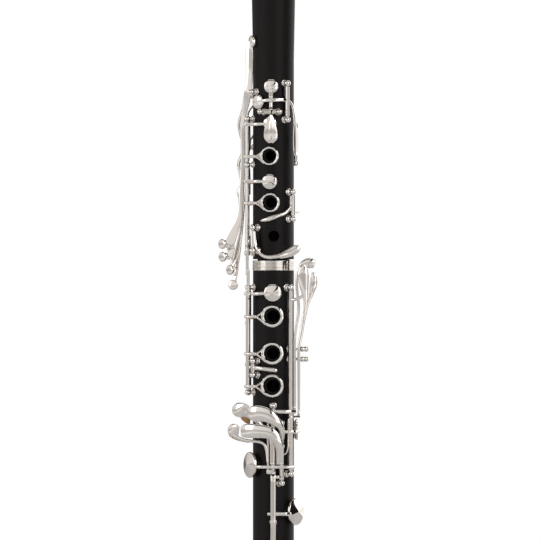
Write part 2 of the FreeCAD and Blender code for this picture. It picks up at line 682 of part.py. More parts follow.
def lh_sliver_key():
    azimuth, z, _, _ = UPPER_PAD_HOLES["lh_sliver"]
    cup, pad = tone_cup(azimuth, z, 4.5)
    arm = arc_arm([UPPER_SLIVER_LINE, (18.4, 1.2), tuple(polar(139.0, 17.6))[:2]], z, 2.4, 1.3)
    points = [polar(-31.0, 16.9, 364.6), polar(-18.0, 17.0, 365.2), polar(-4.0, 17.0, 366.3),
              polar(14.0, 17.1, 368.2), polar(31.0, 17.4, 370.4), polar(41.0, 18.0, 374.6),
              polar(46.0, 18.4, 380.0)]
    return side_key(UPPER_SLIVER_LINE, 368.2, 382.1, [cup, arm, chain(points, 1.15)]), pad


def c_sharp_key():
    azimuth, z, _, _ = UPPER_PAD_HOLES["csharp"]
    cup, pad = tone_cup(azimuth, z, 4.5)
    link = arc_arm([C_SHARP_LINE, (-15.1, -4.2), tuple(polar(-112.0, 17.4))[:2]], z, 2.4, 1.0)
    points = [V(-13.4, -12.9, 348.2), V(-11.0, -14.8, 344.6), polar(-32.0, 17.0, 340.4),
              polar(-14.0, 16.8, 338.9),
              polar(8.0, 16.9, 339.8), polar(26.0, 17.6, 341.6), polar(38.0, 18.6, 343.2)]
    outline = [(9.6, 341.0), (14.0, 340.6), (18.2, 342.4), (19.4, 346.2), (17.4, 348.6), (13.0, 347.2),
               (9.4, 344.6)]
    touch = plate(outline, -14.6, 1.7)
    return side_key(C_SHARP_LINE, 346.0, 357.3, [cup, link, chain(points, 1.1), touch]), pad


def register_key():
    azimuth, z, _, _ = UPPER_PAD_HOLES["register"]
    cup, pad = tone_cup(azimuth, z, 4.0)
    y = REGISTER_HINGE.y
    stem = Part.makeBox(3.0, 1.5, 37.0, V(-1.5, y - 0.9, 468.5))
    lower = chain([V(0, y, 470.0), V(0, y + 2.6, 454.0), V(0, y + 2.6, 440.0)], 1.2)
    outline = [(0, 441.5), (3.0, 439.5), (4.2, 433.5), (3.0, 427.8), (0, 426.4), (-3.0, 427.8),
               (-4.2, 433.5), (-3.0, 439.5)]
    touch = plate(outline, y + 3.6, 1.7)
    return keyed([cup, stem, lower, touch], REGISTER_HINGE, V(1, 0, 0), -3.8, 3.8, SHORT_ROD_R,
                 SHORT_TUBE_R), pad


# lever route of each trill key below its hinge: (x, y, z) points, then the centre of its touch
TRILL_ROUTES = {
    "trill_1": [(-19.6, 11.6, 407.0), (-20.6, 10.6, 380.0), (-22.6, 10.2, 352.0), (-25.4, 9.6, 330.0),
                (-28.2, 8.6, 319.5)],
    "trill_2": [(-20.8, 7.2, 424.0), (-21.6, 7.0, 380.0), (-23.4, 7.0, 358.0), (-27.4, 6.6, 340.0),
                (-30.4, 6.0, 330.0)],
    "trill_3": [(-21.6, 3.4, 442.0), (-22.2, 3.4, 384.0), (-24.6, 3.6, 364.0), (-31.0, 3.8, 346.0),
                (-35.6, 3.0, 339.2)],
    "trill_4": [(-21.4, -0.7, 442.0), (-22.4, -0.6, 386.0), (-25.6, -0.8, 370.0), (-31.6, -1.3, 356.0),
                (-35.8, -1.8, 348.2)],
}
TRILL_TOUCH_R = 3.5


def trill_key(name):
    cup_azimuth, cup_z, _, _ = UPPER_PAD_HOLES[name]
    cup, pad = tone_cup(cup_azimuth, cup_z, 4.4)
    hinge, along = trill_hinge(name)
    azimuth, z, _ = TRILLS[name]
    route = [polar(cup_azimuth, 17.3, cup_z - 1.0),
             polar((azimuth + cup_azimuth) / 2, 17.5, (z + cup_z) / 2), hinge]
    route += [V(*p) for p in TRILL_ROUTES[name]]
    disc = turned([(0, -0.9), (TRILL_TOUCH_R - 0.3, -0.9), (TRILL_TOUCH_R, -0.5), (TRILL_TOUCH_R, 0.5),
                   (TRILL_TOUCH_R - 0.4, 0.9), (0, 1.0)])
    disc.Placement = FreeCAD.Placement(V(*TRILL_ROUTES[name][-1]),
                                       FreeCAD.Rotation(Z_AXIS, V(-0.75, -0.66, 0)))
    solids = [cup, chain(route, 1.0), disc]
    return keyed(solids, hinge, along, -2.0, 2.0, SHORT_ROD_R, SHORT_TUBE_R), pad


# ---------------------------------------------------------------- lower-joint keys
def rh_ring_key():
    azimuth, z, _, _ = LOWER_PAD_HOLES["rh_ring"]
    cup, pad = tone_cup(azimuth, z, 6.1)
    pieces = [cup, long_arm(LOWER_LEFT, (-11.6, -14.4), (-2.0, -17.6), 313.4, 2.2, 1.3)]
    for (azimuth, z, _, _), r_out, r_in in zip(LOWER_FINGER_HOLES.values(), (7.85, 7.85, 8.1),
                                               (5.75, 5.75, 6.2)):
        pieces.append(finger_ring(azimuth, z, r_out, r_in))
        pieces.append(long_arm(LOWER_LEFT, (-13.8, -11.2), (-7.4, -15.3), z, ARM_W, 1.4))
    key, pad = opened([fuse(pieces), pad], LOWER_LEFT, 1, RING_TRAVEL)
    x, y = LOWER_LEFT
    root = Part.makeBox(2.2, 6.4, 2.2, V(x - 1.1, y - 6.4, 309.4))
    bridge = Part.makeBox(2.2, 1.6, 21.8, V(x - 1.1, y - 6.4, 309.4))
    return side_key(LOWER_LEFT, 246.9, 315.5, [key, root, bridge]), pad


def rh_sliver_key():
    azimuth, z, _, _ = LOWER_PAD_HOLES["rh_sliver"]
    cup, pad = tone_cup(azimuth, z, 4.3)
    link = arc_arm([LOWER_SLIVER_LINE, (-15.0, -4.5), tuple(polar(-106.0, 17.4))[:2]], z, 2.4, 1.0)
    points = [V(-13.2, -13.1, 261.5), polar(-31.0, 17.0, 261.0), polar(-13.0, 17.1, 260.5),
              polar(4.0, 17.0, 260.0)]
    return side_key(LOWER_SLIVER_LINE, 258.8, 264.2, [cup, link, chain(points, 1.2)]), pad


def lh_f_sharp_lever():
    """Left-hand F sharp lever: long tube, leaf touch at the top, lifting lug at the bottom."""
    x, y = LONG_RIGHT
    stem = chain([V(x, y - 1.0, 311.0), V(x + 3.2, y - 2.4, 308.0), V(x + 6.6, y - 3.4, 312.0),
                  V(x + 8.2, y - 3.6, 318.0)], 1.15)
    outline = [(17.4, 316.0), (18.8, 313.8), (20.6, 314.6), (23.0, 320.0), (24.5, 327.0), (23.6, 332.6),
               (20.8, 334.0), (18.2, 331.4), (17.0, 324.0)]
    leaf = plate(outline, y - 2.9, 1.7)
    lug = chain([V(x, y - 0.8, 192.4), V(x - 3.2, y - 4.0, 192.4)], 0.9)
    return side_key(LONG_RIGHT, 189.9, 315.4, [stem, leaf, lug])


LEVER_Y = -13.0


def lh_e_lever():
    x, z = LEVERS["e"]
    route = [V(x, -15.3, 231.0), V(x, LEVER_Y, 233.4), V(x, LEVER_Y, 284.0),
             V(x + 0.7, LEVER_Y + 0.4, 300.0),
             V(16.6, -12.6, 318.0), V(19.0, -12.4, 329.0), V(22.0, -12.4, 333.0)]
    outline = [(20.0, 331.0), (22.6, 329.6), (27.0, 330.4), (29.6, 333.8), (28.6, 337.2), (25.0, 338.2),
               (21.4, 336.8)]
    paddle = plate(outline, -11.6, 1.7)
    hub = Part.makeBox(1.8, 3.6, 3.0, V(x - 0.9, LEVER_Y, z - 1.5))
    solids = [chain(route, 0.9), hub, paddle]
    return keyed(solids, V(x, LEVER_PIVOT_Y, z), V(1, 0, 0), -1.1, 1.1, SHORT_ROD_R, SHORT_TUBE_R)


def lh_f_lever():
    x, z = LEVERS["f"]
    route = [V(x, -15.0, 227.6), V(x, LEVER_Y, 230.4), V(x, LEVER_Y, 278.0), V(20.0, -13.0, 288.0),
             V(22.4, -12.4, 300.0), V(26.4, -12.0, 314.0)]
    outline = [(25.2, 313.0), (26.6, 311.6), (28.4, 313.4), (30.4, 320.0), (30.2, 326.6), (28.2, 328.8),
               (26.0, 327.2), (25.2, 320.0)]
    leaf = plate(outline, -11.2, 1.7)
    hub = Part.makeBox(1.8, 3.6, 3.0, V(x - 0.9, LEVER_Y, z - 1.5))
    solids = [chain(route, 0.9), hub, leaf]
    return keyed(solids, V(x, LEVER_PIVOT_Y, z), V(1, 0, 0), -1.1, 1.1, SHORT_ROD_R, SHORT_TUBE_R)


def bar(points, r):
    return chain([V(*p) for p in points], r)


CENTRE_X, CENTRE_Y = CENTRE_LINE
SECOND_X, SECOND_Y = SECOND_LINE
LINK_X = CENTRE_X - 3.6
LINK_Y = CENTRE_Y + 0.6
FRONT_ROD_Y = CENTRE_Y - 4.0


def rh_e_key():
    """Low E key: touch, upper tube with its bar to the lever, link, front rod, lower tube and cup."""
    azimuth, z, _, _ = LOWER_PAD_HOLES["e_b"]
    cup, pad = tone_cup(azimuth, z, 9.0)
    cup_arm = arc_arm([CENTRE_LINE, (-9.0, -17.2), tuple(polar(-56.0, 18.0))[:2]], z, 2.8, 1.6)
    closed, pad = opened([fuse([cup, cup_arm]), pad], CENTRE_LINE, -1, E_B_TRAVEL)
    link = bar([(LINK_X, LINK_Y, 188.6), (LINK_X, LINK_Y, 228.0)], 0.8)
    low_ear = Part.makeBox(4.0, 1.6, 3.2, V(CENTRE_X - 4.0, CENTRE_Y - 0.3, 187.4))
    top_ear = Part.makeBox(4.0, 1.6, 2.4, V(CENTRE_X - 4.0, CENTRE_Y - 0.3, 226.8))
    front = bar([(CENTRE_X, CENTRE_Y - 1.0, 189.0), (CENTRE_X, FRONT_ROD_Y, 186.4),
                 (CENTRE_X, FRONT_ROD_Y, 150.4),
                 (CENTRE_X, CENTRE_Y - 1.0, 147.0)], 1.2)
    arm = bar([(-4.0, LINK_Y, 208.4), (-8.4, -17.2, 209.2), (-14.6, -16.4, 209.6), (-21.6, -14.4, 209.9),
               (-26.4, -12.6, 214.0)], 1.2)
    touch = arc_arm([(-31.6, -8.6), (-28.0, -11.2), (-24.0, -13.4)], 216.6, 10.5, 2.4)
    lever_bar = bar([(CENTRE_X + 1.0, CENTRE_Y - 1.0, 231.0), (8.0, -20.6, 231.0),
                     (15.2, -17.4, 231.0)], 0.9)
    tubes = [rod(V(CENTRE_X, CENTRE_Y, z0), V(CENTRE_X, CENTRE_Y, z1), TUBE_R)
             for z0, z1 in ((226.2, 232.7), (187.0, 190.9))]
    key = side_key(CENTRE_LINE, 111.1, 151.1, [closed, link, low_ear, top_ear, front, arm, touch,
                                               lever_bar] + tubes)
    bore = rod(V(CENTRE_X, CENTRE_Y, 180), V(CENTRE_X, CENTRE_Y, 240), ROD_R + ROD_GAP)
    return key.cut(bore), pad


def rh_f_sharp_key():
    """F sharp key: touch and neck, tube, and the arm with its cup and its lifting end."""
    azimuth, z, _, _ = LOWER_PAD_HOLES["f_sharp"]
    cup, pad = tone_cup(azimuth, z, 9.1)
    arm = arc_arm([(CENTRE_X, CENTRE_Y - 1.8), (-9.8, -18.4), tuple(polar(-62.0, 18.2))[:2]], 192.4,
                  2.2, 1.5)
    closed, pad = opened([fuse([cup, arm]), pad], CENTRE_LINE, -1, F_SHARP_TRAVEL)
    lift = arc_arm([(CENTRE_X, CENTRE_Y - 1.4), (6.5, -20.9), (14.4, -19.3)], 192.4, 2.2, 1.3)
    neck = bar([(CENTRE_X, CENTRE_Y - 0.9, 196.0), (CENTRE_X - 0.3, CENTRE_Y - 1.0, 211.0),
                (-4.7, -20.9, 217.0),
                (-8.8, -17.1, 222.5), (-14.0, -14.6, 226.5), (-20.4, -13.2, 229.0)], 1.1)
    touch = arc_arm([(-28.4, -9.4), (-24.0, -12.4), (-19.6, -14.5)], 230.5, 10.5, 2.4)
    return side_key(CENTRE_LINE, 191.15, 225.9, [closed, lift, neck, touch]), pad


def f_cup_key():
    """Low F cup on its own tube, with the lug that the F touch key presses."""
    azimuth, z, _, _ = LOWER_PAD_HOLES["f_c"]
    cup, pad = tone_cup(azimuth, z, 9.35)
    arm = arc_arm([CENTRE_LINE, (9.2, -17.2), tuple(polar(57.0, 18.2))[:2]], 159.6, 2.8, 1.6)
    closed, pad = opened([fuse([cup, arm]), pad], CENTRE_LINE, 1, F_C_TRAVEL)
    lug = Part.makeBox(2.6, 1.3, 2.2, V(CENTRE_X + 1.0, CENTRE_Y - 0.5, 184.3))
    return side_key(CENTRE_LINE, 156.1, 186.8, [closed, lug]), pad


def rh_f_key():
    """Low F touch on the second line, with its press lug and the strip to the left-hand lever."""
    touch = arc_arm([(-22.3, -15.6), (-15.6, -20.2), (-8.0, -22.9)], 217.6, 9.6, 2.4)
    neck = bar([(SECOND_X, SECOND_Y - 1.4, 197.5), (4.4, -21.8, 202.0), (1.6, -23.4, 207.6),
                (-3.6, -23.6, 212.0),
                (-9.0, -22.6, 215.6)], 1.9)
    lug = Part.makeBox(3.0, 1.3, 2.2, V(SECOND_X - 3.4, SECOND_Y - 2.9, 184.3))
    root = Part.makeBox(1.4, 2.4, 2.2, V(SECOND_X - 1.4, SECOND_Y - 2.9, 184.3))
    strip = bar([(SECOND_X + 0.8, SECOND_Y - 0.8, 201.0), (9.7, -21.4, 204.0), (9.9, -22.0, 225.6),
                 (11.4, -21.4, 227.6), (18.0, -17.3, 227.6)], 0.9)
    return side_key(SECOND_LINE, 183.4, 204.4, [touch, neck, lug, root, strip])


def rh_a_flat_key():
    azimuth, z, _, _ = LOWER_PAD_HOLES["a_flat"]
    cup, pad = tone_cup(azimuth, z, 7.5)
    arm = arc_arm([SECOND_LINE, (14.9, -16.5), tuple(polar(84.0, 18.3))[:2]], 217.0, 2.4, 1.4)
    touch = arc_arm([(-17.2, -18.5), (-12.0, -22.0), (-6.0, -23.7)], 228.4, 10.5, 2.4)
    neck = bar([(SECOND_X, SECOND_Y - 1.4, 213.0), (4.2, -22.4, 215.0), (-1.0, -23.6, 219.6),
                (-7.0, -23.2, 225.0)], 1.9)
    return side_key(SECOND_LINE, 209.2, 220.6, [cup, arm, touch, neck]), pad


# ---------------------------------------------------------------- write every node
def write_wood():
    export("upper_joint", upper_joint())
    export("lower_joint", lower_joint())
    export("joint_ring", joint_ring())
    export("bell", bell())
    export("bell_rings", bell_rings())
    export("barrel", barrel())
    export("barrel_rings", barrel_rings())
    export("tenon_corks", tenon_corks())
    export("mouthpiece", mouthpiece())
    export("reed", reed())
    export("ligature_band", ligature_band())
    export("ligature_screws", ligature_screws())


def write_fittings():
    export("thumb_rest", thumb_rest())
    export("thumb_rest_screws", thumb_rest_screws())
    export("thumb_tube", thumb_tube())
    export("register_tube", register_tube())
    export("upper_posts", upper_posts())
    export("lower_posts", lower_posts())
    export("upper_rods", upper_rods())
    export("lower_rods", lower_rods())


PADDED_KEYS = {
    "lh1_ring": lh1_ring_key,
    "lh2_ring": lh2_ring_key,
    "a": a_key,
    "g_sharp": g_sharp_key,
    "lh_sliver": lh_sliver_key,
    "c_sharp": c_sharp_key,
    "register": register_key,
    "rh_ring": rh_ring_key,
    "rh_sliver": rh_sliver_key,
    "rh_e": rh_e_key,
    "rh_f_sharp": rh_f_sharp_key,
    "f_cup": f_cup_key,
    "rh_a_flat": rh_a_flat_key,
}
PLAIN_KEYS = {
    "thumb_ring_key": thumb_ring_key,
    "rh_f_key": rh_f_key,
    "lh_f_sharp_lever": lh_f_sharp_lever,
    "lh_e_lever": lh_e_lever,
    "lh_f_lever": lh_f_lever,
}


def write_keys():
    for name, make in PADDED_KEYS.items():
        key, pad = make()
        export(name + "_key", key.cut(pad))
        export(name + "_pad", pad)
    for name in TRILLS:
        key, pad = trill_key(name)
        export(name + "_key", key.cut(pad))
        export(name + "_pad", pad)
    for name, make in PLAIN_KEYS.items():
        export(name, make())


write_wood()
write_fittings()
write_keys()
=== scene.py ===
import math

import bmesh
import bpy
from mathutils import Matrix, Vector


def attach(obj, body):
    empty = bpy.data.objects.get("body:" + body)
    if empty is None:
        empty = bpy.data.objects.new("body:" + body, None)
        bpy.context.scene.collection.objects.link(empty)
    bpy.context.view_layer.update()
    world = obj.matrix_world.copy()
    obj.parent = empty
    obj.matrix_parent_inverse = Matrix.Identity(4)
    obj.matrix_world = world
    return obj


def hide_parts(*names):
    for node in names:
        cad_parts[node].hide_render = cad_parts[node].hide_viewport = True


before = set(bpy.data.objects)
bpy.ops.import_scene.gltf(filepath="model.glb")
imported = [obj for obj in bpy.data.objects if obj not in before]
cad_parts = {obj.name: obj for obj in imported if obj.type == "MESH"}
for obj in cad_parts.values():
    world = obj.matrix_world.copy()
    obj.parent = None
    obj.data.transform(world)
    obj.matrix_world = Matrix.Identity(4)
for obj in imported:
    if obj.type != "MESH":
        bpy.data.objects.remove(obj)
bpy.context.view_layer.update()

# Lengths below are millimetres in the frame of the CAD model: origin at the centre of the bell rim,
# +Z up the bore, the finger holes facing -Y. Azimuth 0 is the front and turns positive towards +X.
MM = 0.001
BODY_R = 14.35
TUBE_R = 1.6
TUBE_BORE = 1.06
PAD_LOW = 14.97
CUP_LOW = PAD_LOW + 0.8
THUMB_Z = 418.0
CUP_T = 1.9
RING_LOW = 14.75
RING_T = 1.5
SPRING_R = 0.34

# hinge lines (x, y), the same as the CAD model's
UPPER_LEFT = (-18.3, -4.3)
G_SHARP_LINE = (9.8, -15.3)
UPPER_SLIVER_LINE = (13.7, -12.6)
C_SHARP_LINE = (-14.4, -11.9)
THUMB_LINE = (15.4, 10.8)
LOWER_LEFT = (-17.7, -5.8)
LOWER_SLIVER_LINE = (-14.3, -11.9)
LONG_RIGHT = (12.0, -14.3)
CENTRE_LINE = (-0.2, -18.4)
SECOND_LINE = (5.6, -17.7)
A_HINGE = (-2.6, -17.6, 440.6)
REGISTER_HINGE = (0.0, 18.0, 470.0)
TRILL_HINGE_R, TRILL_POST_OUT, TRILL_TOUCH_R = 17.5, 3.9, 3.5
E_LEVER_X, E_PIVOT_Z = 14.85, 274.7
F_LEVER_X, F_PIVOT_Z = 17.75, 267.7
PIVOT_Y = -10.2

# cups as (azimuth, z, radius)
LH1_CUP = (-6, 432.4, 4.7)
LH2_CUP = (-7, 391.7, 5.3)
A_CUP = (-5.5, 458.3, 5)
G_SHARP_CUP = (-40.8, 447.5, 4.9)
LH_SLIVER_CUP = (140, 371.2, 4.5)
C_SHARP_CUP = (-112, 350, 4.5)
REGISTER_CUP = (180, 505, 4)
RH_CUP = (0.3, 314.1, 6.1)
RH_SLIVER_CUP = (-106, 262, 4.3)
E_CUP = (-62, 119, 9)
F_SHARP_CUP = (-69, 193.7, 9.1)
F_CUP = (63, 161, 9.35)
A_FLAT_CUP = (90, 218.5, 7.5)
TRILL_CUP_R = 4.4
BIG_RISE, A_FLAT_RISE = 1.9, 1.5

# finger rings as (azimuth, z, outer radius, inner radius)
LH1_RING = (-8.0, 409.7, 6.6, 5.0)
LH2_RING = (-6.2, 377.1, 6.8, 5.2)
THUMB_RING = (180.0, THUMB_Z, 6.7, 5.1)
RH_RINGS = ((-1.0, 297.7, 7.85, 5.75), (-1.0, 271.7, 7.85, 5.75), (-1.4, 249.0, 8.1, 6.2))

# degrees that the keys which stand open are swung up from their holes
RING_SWING, THUMB_SWING, BIG_CUP_SWING, F_SHARP_SWING = 3.2, 3.4, 6.0, 5.5

# (x, y) where arms bend between their hinge tube and their ring or cup
UPPER_RING_BEND, UPPER_CUP_BEND = (-14.6, -10.8), (-12.9, -14.3)
LOWER_RING_BEND, LOWER_CUP_BEND = (-14.0, -11.2), (-11.8, -14.7)
FRONT = (0, -1, 0)


# ---------- mesh kit
def polar(azimuth, r, z=0.0):
    a = math.radians(azimuth)
    return Vector((r * math.sin(a), -r * math.cos(a), z))


def sideways(azimuth):
    a = math.radians(azimuth)
    return Vector((math.cos(a), math.sin(a), 0))


def along(start, direction):
    turn = Vector((0, 0, 1)).rotation_difference(Vector(direction)).to_matrix().to_4x4()
    return Matrix.Translation(start) @ turn


def outward(azimuth, z):
    """Matrix that stands a shape made along local +Z out of the bore axis."""
    return along((0, 0, z), polar(azimuth, 1))


def opened(line, sign, degrees):
    """Matrix of a key swung open about its hinge line."""
    pivot = Matrix.Translation((line[0], line[1], 0))
    return pivot @ Matrix.Rotation(math.radians(-sign * degrees), 4, "Z") @ pivot.inverted()


def wall(line, towards, z, r=1.35):
    """Point on a tube's wall, on the side that faces another (x, y)."""
    start = Vector((line[0], line[1], z))
    side = Vector((towards[0] - line[0], towards[1] - line[1], 0)).normalized()
    return start + side * r


def skin(rings, closed=False):
    """Closed shell over a row of equal rings of points."""
    count = len(rings[0])
    points = [p for ring in rings for p in ring]
    faces = []
    for i in range(len(rings) if closed else len(rings) - 1):
        a = i * count
        b = (i + 1) % len(rings) * count
        for j in range(count):
            k = (j + 1) % count
            faces.append((a + j, a + k, b + k, b + j))
    if not closed:
        faces.append(tuple(range(count)))
        faces.append(tuple(range(len(points) - count, len(points))))
    return points, faces


def moved(shell, matrix):
    points, faces = shell
    return [matrix @ Vector(p) for p in points], faces


def lathe(profile, matrix, closed=False, segments=48):
    """Turned shell from (radius, height) points about local Z."""
    rings = []
    for r, h in profile:
        angles = [2 * math.pi * k / segments for k in range(segments)]
        rings.append([matrix @ Vector((r * math.cos(a), r * math.sin(a), h)) for a in angles])
    return skin(rings, closed)


def smooth_rows(rows, steps=7):
    """Rows of numbers run through by a Catmull-Rom curve."""
    rows = [rows[0]] + list(rows) + [rows[-1]]
    out = []
    for i in range(1, len(rows) - 2):
        p0, p1, p2, p3 = rows[i - 1:i + 3]
        for k in range(steps):
            t = k / steps
            out.append([0.5 * (2 * b + (c - a) * t + (2 * a - 5 * b + 4 * c - d) * t * t
                               + (3 * b - a - 3 * c + d) * t ** 3) for a, b, c, d in zip(p0, p1, p2, p3)])
    out.append(list(rows[-2]))
    return out


# outer outline of a ridged touch: a long facet, the ridge, a short steep fall and a second facet
RIDGE = [(-0.5, 0.0), (-0.43, 0.2), (0.05, 0.5), (0.14, 0.16), (0.43, 0.06), (0.5, 0.0)]


def section_point(angle, power, ridge):
    """A point of a rounded section, 1 wide and 1 thick, with or without the ridge."""
    c, s = math.cos(angle), math.sin(angle)
    x = math.copysign(abs(c) ** (2 / power), c) / 2
    y = math.copysign(abs(s) ** (2 / power), s) / 2
    if ridge and s > 0:
        for (x0, y0), (x1, y1) in zip(RIDGE, RIDGE[1:]):
            if x0 <= x <= x1:
                y = y0 + (y1 - y0) * (x - x0) / (x1 - x0)
    return x, y


def sweep(rows, face=None, power=2, ridge=False, segments=20, steps=7):
    """Bar through rows of (x, y, z, width, thickness), its ends rounded.

    Its flat side looks along face: nothing for straight out of the bore, one direction,
    or two directions that it turns between."""
    line = smooth_rows([list(r) for r in rows], steps)
    last = len(line) - 1
    centres = [Vector(r[:3]) for r in line]
    frames = []
    for i, centre in enumerate(centres):
        forward = (centres[min(i + 1, last)] - centres[max(i - 1, 0)]).normalized()
        if face is None:
            up = Vector((centre.x, centre.y, 0))
        elif isinstance(face[0], (int, float)):
            up = Vector(face)
        else:
            up = Vector(face[0]).lerp(Vector(face[1]), i / last)
        side = forward.cross(up)
        if side.length < 1e-4:
            side = forward.cross(Vector((1, 0, 0)))
        side.normalize()
        frames.append((centre, forward, side, side.cross(forward).normalized(), line[i][3], line[i][4]))
    angles = [2 * math.pi * k / segments for k in range(segments)]
    shape = [section_point(a, power, ridge) for a in angles]
    rounded = [0.05, 0.3, 0.6, 0.85, 0.97]
    rings = []
    for share in rounded:
        rings.append((frames[0], -math.sqrt(1 - share ** 2), share))
    rings += [(f, 0.0, 1.0) for f in frames]
    for share in reversed(rounded):
        rings.append((frames[-1], math.sqrt(1 - share ** 2), share))
    out = []
    for (centre, forward, side, up, width, thick), push, share in rings:
        base = centre + forward * (push * min(width, thick) * 0.5)
        w = width - (1 - share) * min(width, thick) * 1.0
        out.append([base + side * (x * max(w, 0.05)) + up * (y * thick * share) for x, y in shape])
    return skin(out)


def bar(shells, rows, **look):
    """Adds a sweep to a key's shells."""
    shells.append(sweep(rows, **look))


def round_bar(points, r, segments=16):
    return sweep([tuple(p) + (2 * r, 2 * r) for p in points], segments=segments)


def sleeve(bore, r, low, high, matrix):
    """Hollow tube along local Z, its ends lightly chamfered."""
    profile = [(bore, low), (r - 0.15, low), (r, low + 0.15),
               (r, high - 0.15), (r - 0.15, high), (bore, high)]
    return lathe(profile, matrix, closed=True, segments=32)


def tube(line, z0, z1):
    """Hinge tube about a vertical line."""
    return sleeve(TUBE_BORE, TUBE_R, z0, z1, Matrix.Translation((*line, 0)))


def cross_tube(centre, direction, half, r):
    return sleeve(0.86, r, -half, half, along(centre, direction))


def cup(azimuth, z, r, rise=1.0):
    """Key cup: a turned rim and a face that rises in a shallow cone to its centre."""
    low, top = CUP_LOW, CUP_LOW + CUP_T
    profile = [(r - 0.6, low + 1.0), (r - 0.6, low), (r - 0.2, low), (r, low + 0.2), (r, top - 0.95),
               (r - 0.12, top - 0.7), (r - 0.5, top - 0.45), (r * 0.8, top - 0.45 + 0.2 * rise),
               (r * 0.45, top - 0.45 + 0.55 * rise), (r * 0.12, top - 0.45 + 0.9 * rise),
               (0.0, top - 0.4 + rise), (0.0, low + 1.0)]
    return lathe(profile, outward(azimuth, z), closed=True, segments=64)


def finger_ring(azimuth, z, r_out, r_in):
    """Ring round a finger hole, its top rolled over."""
    low, top = RING_LOW, RING_LOW + RING_T
    middle = (r_in + r_out) / 2
    profile = [(r_in, low), (r_out - 0.3, low), (r_out, low + 0.35), (r_out, top - 0.75),
               (r_out - 0.2, top - 0.3), (middle + 0.25, top - 0.02), (middle - 0.1, top),
               (r_in + 0.15, top - 0.25), (r_in, top - 0.6)]
    return lathe(profile, outward(azimuth, z), closed=True, segments=64)


def over_tube(line, z, width, thick):
    """Rows that start an arm beside its tube and carry it round the tube's front."""
    x, y = line
    return [(x - 2.1, y - 1.1, z, width * 0.9, thick), (x - 1.2, y - 2.1, z, width, thick),
            (x + 0.3, y - 2.6, z, width, thick)]


def ring_arm(line, mid, azimuth, z, r_out, web=True):
    """Arm from a hinge tube that splits into a Y, webbed or open, where it meets its ring."""
    centre = polar(azimuth, RING_LOW + RING_T / 2, z)
    across = sideways(azimuth)
    split = centre - across * (r_out + 3.4) + polar(azimuth, 0.5)
    middle = Vector((mid[0], mid[1], z))
    shells = [sweep(over_tube(line, z, 2.4, 1.4) + [(*middle, 2.2, 1.5), (*split, 2.0, 1.4)], power=2.6)]
    for side in (-1, 1):
        meet = centre - across * (r_out * 0.62) + Vector((0, 0, side * r_out * 0.66))
        bend = split.lerp(meet, 0.5) + Vector((0, 0, -side * 0.35))
        bar(shells, [(*split, 1.7, 1.4), (*bend, 1.3, 1.3), (*meet, 1.4, 1.3)], power=2.6)
    if web:
        inner = centre - across * (r_out - 0.6)
        bar(shells, [(*split, 0.9, 0.6), (*split.lerp(inner, 0.5), 3, 0.6), (*inner, 5.6, 0.6)], power=4)
    return shells


def cup_arm(line, mid, azimuth, z_arm, z_cup, width=2.3):
    """Arm that runs from a hinge tube over its cup and tapers to the cup's centre."""
    top = CUP_LOW + CUP_T + 0.35
    end = polar(azimuth, top, z_arm * 0.35 + z_cup * 0.65)
    middle = Vector((mid[0], mid[1], z_arm))
    if line[0] < -10:
        rows = over_tube(line, z_arm, width, 1.4)
    else:
        start = wall(line, mid, z_arm)
        rows = [(*start, width + 0.3, 1.5), (*start.lerp(middle, 0.5), width, 1.5)]
    rows += [(*middle, width, 1.5), (*middle.lerp(end, 0.55), width * 0.9, 1.3), (*end, width * 0.45, 0.8)]
    return sweep(rows, power=2.8)


def arm_cork(line, mid, z, reach):
    """Strip of cork glued under an arm, seen along its lower edge."""
    x, y = line
    near = Vector((x + 0.9, y - 2.1, z - 1.15))
    far = near.lerp(Vector((mid[0], mid[1], z - 1.15)), reach)
    return sweep([(*near, 1.1, 1.3), (*near.lerp(far, 0.5), 1.2, 1.4), (*far, 1.0, 1.2)], power=3)


def in_scene(name, data):
    thing = bpy.data.objects.new(name, data)
    bpy.context.scene.collection.objects.link(thing)
    return thing


def make(name, body, shells, material, stands_for=(), crease=38):
    """One piece from closed shells given in millimetres."""
    mesh = bpy.data.meshes.new(name)
    points, faces = [], []
    for shell_points, shell_faces in shells:
        base = len(points)
        points += [Vector(p) * MM for p in shell_points]
        faces += [tuple(base + i for i in f) for f in shell_faces]
    mesh.from_pydata(points, [], faces)
    bm = bmesh.new()
    bm.from_mesh(mesh)
    bmesh.ops.remove_doubles(bm, verts=bm.verts, dist=2e-7)
    bmesh.ops.recalc_face_normals(bm, faces=bm.faces)
    bm.to_mesh(mesh)
    bm.free()
    mesh.shade_smooth()
    mesh.set_sharp_from_angle(angle=math.radians(crease))
    piece = in_scene(name, mesh)
    mesh.materials.append(material)
    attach(piece, body)
    if stands_for:
        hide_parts(*stands_for)
    return piece


def silver_key(node, shells, piece=None, body=None):
    """A key's metal in place of its CAD node; piece and body are named after the node unless given."""
    make(piece or node + "_silver", body or node + "_body", shells, SILVER, [node])


# ---------- materials
def node_material(name):
    """A new material, its node tree and its surface shader."""
    material = bpy.data.materials.new(name)
    material.use_nodes = True
    tree = material.node_tree
    return material, tree, tree.nodes["Principled BSDF"]


def stretched(tree, scale):
    """Object coordinates scaled by (x, y, z), for a pattern in the piece's own space."""
    place = tree.nodes.new("ShaderNodeTexCoord")
    mapping = tree.nodes.new("ShaderNodeMapping")
    mapping.inputs["Scale"].default_value = scale
    tree.links.new(place.outputs["Object"], mapping.inputs["Vector"])
    return mapping.outputs["Vector"]


def noise(tree, scale, size=1.0, detail=4.0, roughness=0.6):
    node = tree.nodes.new("ShaderNodeTexNoise")
    node.inputs["Scale"].default_value = size
    node.inputs["Detail"].default_value = detail
    node.inputs["Roughness"].default_value = roughness
    tree.links.new(stretched(tree, scale), node.inputs["Vector"])
    return node.outputs["Fac"]


